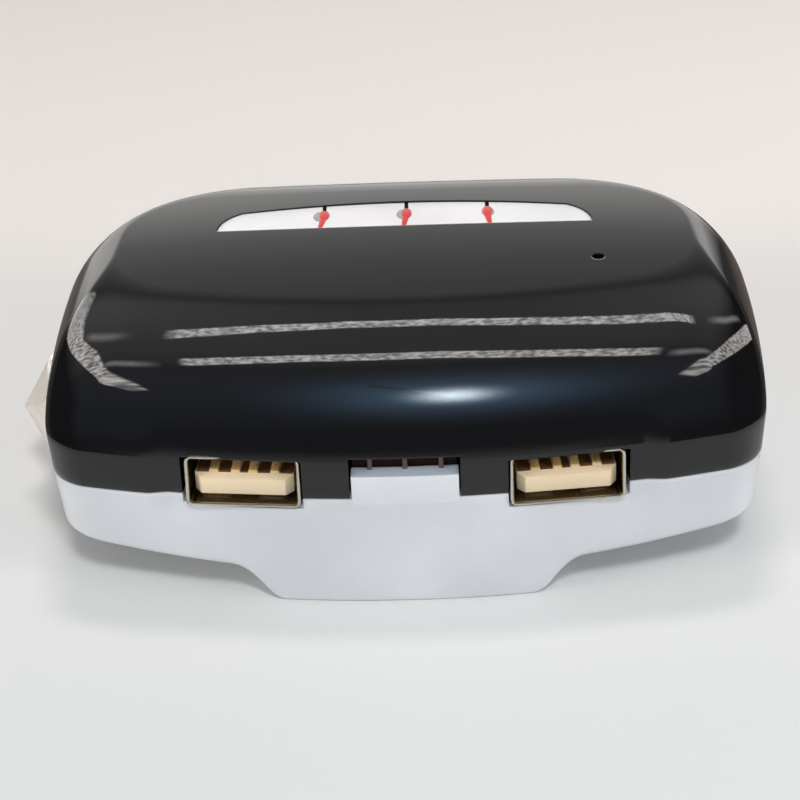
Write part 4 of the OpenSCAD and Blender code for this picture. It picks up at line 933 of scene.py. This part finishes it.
# Camera, floor and light
def set_camera(focal_px=2164.46, photo_px=800, sensor=36.0, tilt=29.733, yaw=-1.677, roll=-2.447):
    """Camera fitted to the photo, with its angles in degrees."""
    cam = bpy.data.cameras.new("camera")
    cam.sensor_width = sensor
    cam.lens = focal_px / photo_px * sensor
    obj = add_object("camera", cam)
    p, y, r = (math.radians(angle) for angle in (tilt, yaw, roll))
    ahead = Vector((math.sin(y) * math.cos(p), math.cos(y) * math.cos(p), -math.sin(p)))
    level = Vector((math.cos(y), -math.sin(y), 0))
    upright = level.cross(ahead)
    right = level * math.cos(r) + upright * math.sin(r)
    up = upright * math.cos(r) - level * math.sin(r)
    turn = Matrix((right, up, -ahead)).transposed().to_4x4()
    turn.translation = Vector(place([(5.854, -237.154, 144.01)])[0])
    obj.matrix_world = turn
    bpy.context.scene.camera = obj


def paper_color_and_painted_light(nt, x, y):
    """Cool paper in front and warm paper behind, with painted light and shade: brighter a little way behind
    the model and to the right, darker far behind.
    """
    drift = product(nt, math_node(nt, "SUBTRACT", noise(nt, 7.0, 3.0), 0.5), 0.05)
    along = math_node(nt, "ADD", y, drift)
    # near and far also carry painted light; below, painted light to the right and painted shade far behind.
    near, far = (0.70, 0.735, 0.755), (0.81, 0.785, 0.765)
    paper = color_ramp(nt, spread(nt, along, 0.0, 1.0, -0.05, 0.08), [(0.0, near), (1.0, far)])
    painted_light_across, behind = spread(nt, x, 0.92, 1.06, -0.14, 0.14), spread(nt, along, 1.0, 0.88, 0.12, 0.36)
    return dimmed(nt, paper, product(nt, painted_light_across, behind))


def add_floor(half=1.5):
    mesh = bpy.data.meshes.new("floor")
    corners = [(-half, -half, 0), (half, -half, 0), (half, half, 0), (-half, half, 0)]
    mesh.from_pydata(corners, [], [(0, 1, 2, 3)])
    obj = add_object("floor", mesh)
    mat, nt, bsdf = node_tree("paper sweep")
    x, y, _ = axes(nt, "Object")
    aside = math_node(nt, "ADD", math_node(nt, "DIVIDE", x, math_node(nt, "MAXIMUM", y, 0.01)), 0.08)
    aside = spread(nt, math_node(nt, "ABSOLUTE", aside), 0.0, 0.93, 0.42, 0.60)
    path = add_node(nt, "LightPath")
    dim = product(nt, aside, spread(nt, y, 0.0, 1.0, -0.02, 0.015), path.outputs["Is Glossy Ray"])
    # The floor beside and behind the model is dark in its reflections alone
    mix = add_node(nt, "Mix")
    mix.data_type = "RGBA"
    nt.links.new(dim, mix.inputs[0])
    nt.links.new(paper_color_and_painted_light(nt, x, y), mix.inputs[6])
    mix.inputs[7].default_value = (0.12, 0.082, 0.066, 1)
    nt.links.new(mix.outputs[2], bsdf.inputs["Base Color"])
    bsdf.inputs["Roughness"].default_value = 0.62
    bsdf.inputs["Specular IOR Level"].default_value = 0.25
    mesh.materials.append(mat)


def area(name, at, aim, size, power, color, cone=180.0):
    """Soft lamp that reflections don't show; cone is its spread in degrees."""
    lamp = bpy.data.lights.new(name, "AREA")
    lamp.shape = "RECTANGLE"
    lamp.size, lamp.size_y = size
    lamp.energy = power
    lamp.color = color
    lamp.spread = math.radians(cone)
    obj = add_object(name, lamp)
    obj.location = at
    obj.rotation_euler = (Vector(aim) - Vector(at)).to_track_quat("-Z", "Y").to_euler()
    obj.visible_glossy = False
    obj.visible_camera = False


def veil(name, shape, strength, color, fade, cloth=0.0, weave=(110.0, 20.0), height=1.2):
    """A far shape that shows only in reflections. shape has two edges of as many points, on a level over the
    model; fade(nt) gives its strength over it, and cloth how strongly a weave shows."""
    mesh = bpy.data.meshes.new(name)
    n = len(shape[0])
    points = [(x, y, height) for edge in shape for x, y in edge]
    mesh.from_pydata(points, [], [(i, i + 1, n + i + 1, n + i) for i in range(n - 1)])
    uv = mesh.uv_layers.new(name="UVMap")
    for loop in mesh.loops:
        uv.data[loop.index].uv = ((loop.vertex_index % n) / (n - 1), loop.vertex_index // n)
    obj = add_object(name, mesh)
    mat, nt, bsdf = node_tree(name)
    nt.nodes.remove(bsdf)
    glow = add_node(nt, "Emission", Color=(*color, 1))
    value = fade(nt)
    if cloth:
        threads = noise(nt, 1.0, 2.0, (*weave, 1.0), 0.6)
        value = product(nt, value, spread(nt, threads, 1.0 - cloth, 1.0 + cloth, 0.38, 0.62))
    nt.links.new(product(nt, value, strength), glow.inputs["Strength"])
    both = add_node(nt, "AddShader")
    nt.links.new(glow.outputs[0], both.inputs[0])
    nt.links.new(add_node(nt, "BsdfTransparent").outputs[0], both.inputs[1])
    nt.links.new(both.outputs[0], nt.nodes["Material Output"].inputs["Surface"])
    mesh.materials.append(mat)
    obj.visible_camera = obj.visible_diffuse = obj.visible_shadow = obj.visible_transmission = False


def band_fade(ends, side, start=1.0, end=1.0):
    """Fades over a share at both sides and shares at the ends, and goes from start to end along the band."""
    def fade(nt):
        u, v, _ = axes(nt, "UV")
        off_middle = math_node(nt, "ABSOLUTE", math_node(nt, "SUBTRACT", v, 0.5))
        from_side = math_node(nt, "SUBTRACT", 0.5, off_middle)
        value = product(nt, spread(nt, from_side, 0.0, 1.0, 0.0, side), spread(nt, u, 0.0, 1.0, 0.0, ends[0]),
                        spread(nt, u, 1.0, 0.0, 1.0 - ends[1], 1.0))
        return product(nt, value, spread(nt, u, start, end, 0.0, 1.0))
    return fade


def spot_fade(core):
    """Bright in the middle with a wide soft skirt."""
    def fade(nt):
        u, v, _ = axes(nt, "UV")
        du, dv = (product(nt, math_node(nt, "SUBTRACT", c, 0.5), 2.0) for c in (u, v))
        r2 = math_node(nt, "ADD", product(nt, du, du), product(nt, dv, dv))
        value = math_node(nt, "POWER", 2.718, product(nt, r2, -core))
        return product(nt, value, spread(nt, r2, 1.0, 0.0, 0.55, 1.0))
    return fade


def ribbon(line, half):
    """Two edges of a band round a line, half of its width to each side in y."""
    return [(x, y + half) for x, y in line], [(x, y - half) for x, y in line]


def add_veils():
    """Reflections on the cover: two bands over the front, one at each side, their faint ends and a lamp."""
    grey = (1.0, 0.955, 0.92)
    upper = [(-0.335, 1.085), (-0.275, 1.16), (-0.216, 1.235), (-0.105, 1.325), (0.009, 1.33), (0.133, 1.23),
             (0.234, 1.135), (0.31, 1.10), (0.40, 1.08)]
    lower = [(-0.315, 0.69), (-0.24, 0.72), (-0.159, 0.749), (0.015, 0.762), (0.166, 0.70), (0.235, 0.66),
             (0.30, 0.625)]
    veil("veil_upper", ribbon(upper, 0.080), 3.9, grey, band_fade((0.03, 0.05), 0.10), 0.6)
    veil("veil_lower", ribbon(lower, 0.050), 4.8, grey, band_fade((0.03, 0.05), 0.10), 0.6, (110.0, 34.0))
    outer = [(-2.3, 3.9), (-2.2, 3.3), (-1.9, 2.6), (-1.55, 1.95), (-1.05, 1.25), (-0.66, 0.745),
             (-0.48, 0.50), (-0.40, 0.325)]
    inner = [(-0.72, 2.02), (-0.78, 1.75), (-0.80, 1.55), (-0.755, 1.22), (-0.55, 0.92), (-0.42, 0.60),
             (-0.385, 0.43), (-0.372, 0.335)]
    left_fade = band_fade((0.02, 0.03), 0.05, 0.42, 1.45)
    veil("veil_left", (outer, inner), 3.9, grey, left_fade, 0.75, (16.0, 30.0))
    outer = [(2.3, 2.3), (1.35, 1.30), (0.872, 0.852), (0.55, 0.55), (0.405, 0.402), (0.372, 0.285)]
    inner = [(1.9, 2.3), (1.05, 1.33), (0.70, 0.95), (0.46, 0.63), (0.357, 0.489), (0.343, 0.330)]
    veil("veil_right", (outer, inner), 4.1, grey, band_fade((0.02, 0.03), 0.05), 0.75, (24.0, 34.0))
    faint = (([(0.47, 1.10), (0.68, 1.20), (1.17, 1.60)], 0.075, 2.3),
             ([(0.305, 0.60), (0.335, 0.594), (0.45, 0.612)], 0.05, 2.6),
             ([(-0.76, 1.26), (-0.55, 1.13), (-0.37, 1.05)], 0.09, 1.5),
             ([(-0.46, 0.655), (-0.40, 0.656), (-0.335, 0.658)], 0.05, 2.4))
    for k, (line, half, power) in enumerate(faint):
        veil("veil_far_%d" % k, ribbon(line, half), power, grey, band_fade((0.3, 0.3), 0.5), 0.1)
    x, y = 0.043, 0.256
    for name, w, half, power, core, color in (("veil_spot", 0.115, 0.165, 37.0, 7.2, (0.80, 0.94, 1.0)),
                                              ("veil_glow", 0.36, 0.40, 2.1, 5.0, (0.34, 0.63, 1.0))):
        veil(name, ribbon([(x - w, y), (x + w, y)], half), power, color, spot_fade(core))


def room_color(nt):
    """The room in reflections: grey by the degrees up from the horizon at the back, darker to the sides."""
    stops = [(0, (1.45, 1.42, 1.38)), (23.2, (2.1, 2.08, 2.04)), (24.2, (1.75, 1.74, 1.70)),
             (24.6, (1.22, 1.21, 1.18)), (25.1, (0.78, 0.77, 0.76)), (25.5, (0.60, 0.595, 0.585)),
             (26.0, (0.46, 0.455, 0.44)), (26.5, (0.37, 0.365, 0.35)), (28.3, (0.25, 0.25, 0.25)),
             (30, (0.15, 0.15, 0.16)), (33, (0.25, 0.25, 0.25)), (38, (0.29, 0.29, 0.285)),
             (54, (0.36, 0.36, 0.36)), (58, (0.30, 0.30, 0.30)), (61.5, (0.17, 0.17, 0.175)),
             (66, (0.17, 0.19, 0.22)), (72, (0.16, 0.19, 0.25)), (88, (0.10, 0.12, 0.155)),
             (96, (0.055, 0.06, 0.068)), (112, (0.05, 0.052, 0.056)), (128, (0.16, 0.16, 0.165)),
             (150, (0.4, 0.4, 0.4)), (180, (0.6, 0.6, 0.6))]
    x, y, z = axes(nt, "Generated")
    share = spread(nt, math_node(nt, "ARCTAN2", z, y), 0.0, 1.0, 0.0, math.pi)
    grey = color_ramp(nt, share, [(degrees / 180, color) for degrees, color in stops])
    aside = spread(nt, math_node(nt, "ABSOLUTE", math_node(nt, "ADD", x, 0.07)), 1.0, 0.07, 0.36, 0.50)
    lift = product(nt, spread(nt, math_node(nt, "ABSOLUTE", x), 0.0, 0.75, 0.05, 0.24),
                   spread(nt, y, 0.0, 1.0, 0.60, 0.80), spread(nt, z, 0.0, 1.0, 0.475, 0.53))
    return dimmed(nt, grey, product(nt, aside, math_node(nt, "ADD", lift, 1.0)))


def choice(nt, fac, no, yes):
    """One shader or another by a light path's output."""
    mix = add_node(nt, "MixShader")
    nt.links.new(fac, mix.inputs["Fac"])
    nt.links.new(no, mix.inputs[1])
    nt.links.new(yes, mix.inputs[2])
    return mix.outputs[0]


def add_world():
    """Pale even light, the graded room in reflections and a plain backdrop for the camera."""
    world = bpy.data.worlds.new("room")
    bpy.context.scene.world = world
    world.use_nodes = True
    nt = world.node_tree
    nt.nodes.clear()
    room = add_node(nt, "Background")
    nt.links.new(room_color(nt), room.inputs["Color"])
    pale = add_node(nt, "Background", Color=(0.275, 0.283, 0.295, 1))
    back = add_node(nt, "Background", Color=(0.70, 0.66, 0.64, 1))
    path = add_node(nt, "LightPath")
    seen = choice(nt, path.outputs["Is Glossy Ray"], pale.outputs[0], room.outputs[0])
    seen = choice(nt, path.outputs["Is Camera Ray"], seen, back.outputs[0])
    nt.links.new(seen, add_node(nt, "OutputWorld").inputs["Surface"])


add_cover()
add_base()
add_tab()
add_ribs()
for side, word in ((-1, "left"), (1, "right")):
    add_socket(side, word)
add_plate()
add_lights()
add_nose_contact()
add_nose_collar()
dress_nodes()

set_camera()
add_floor()
add_world()
add_veils()
area("softbox", (0.24, -1.22, 1.80), (0, 0, 0), (0.40, 0.40), 19.8, (1.0, 1.0, 1.0))
area("top_back", (0.0, 0.62, 1.70), (0, 0, 0), (0.45, 0.30), 7.0, (1.0, 0.93, 0.86))
area("left_fill", (-0.80, -0.30, 0.24), (-0.03, 0, 0), (0.30, 0.20), 0.36, (1.0, 0.90, 0.80), 50.0)
area("right_fill", (0.80, -0.30, 0.24), (0.03, 0, 0), (0.30, 0.20), 0.29, (1.0, 0.90, 0.82), 50.0)

bpy.context.scene.view_settings.view_transform = "Standard"
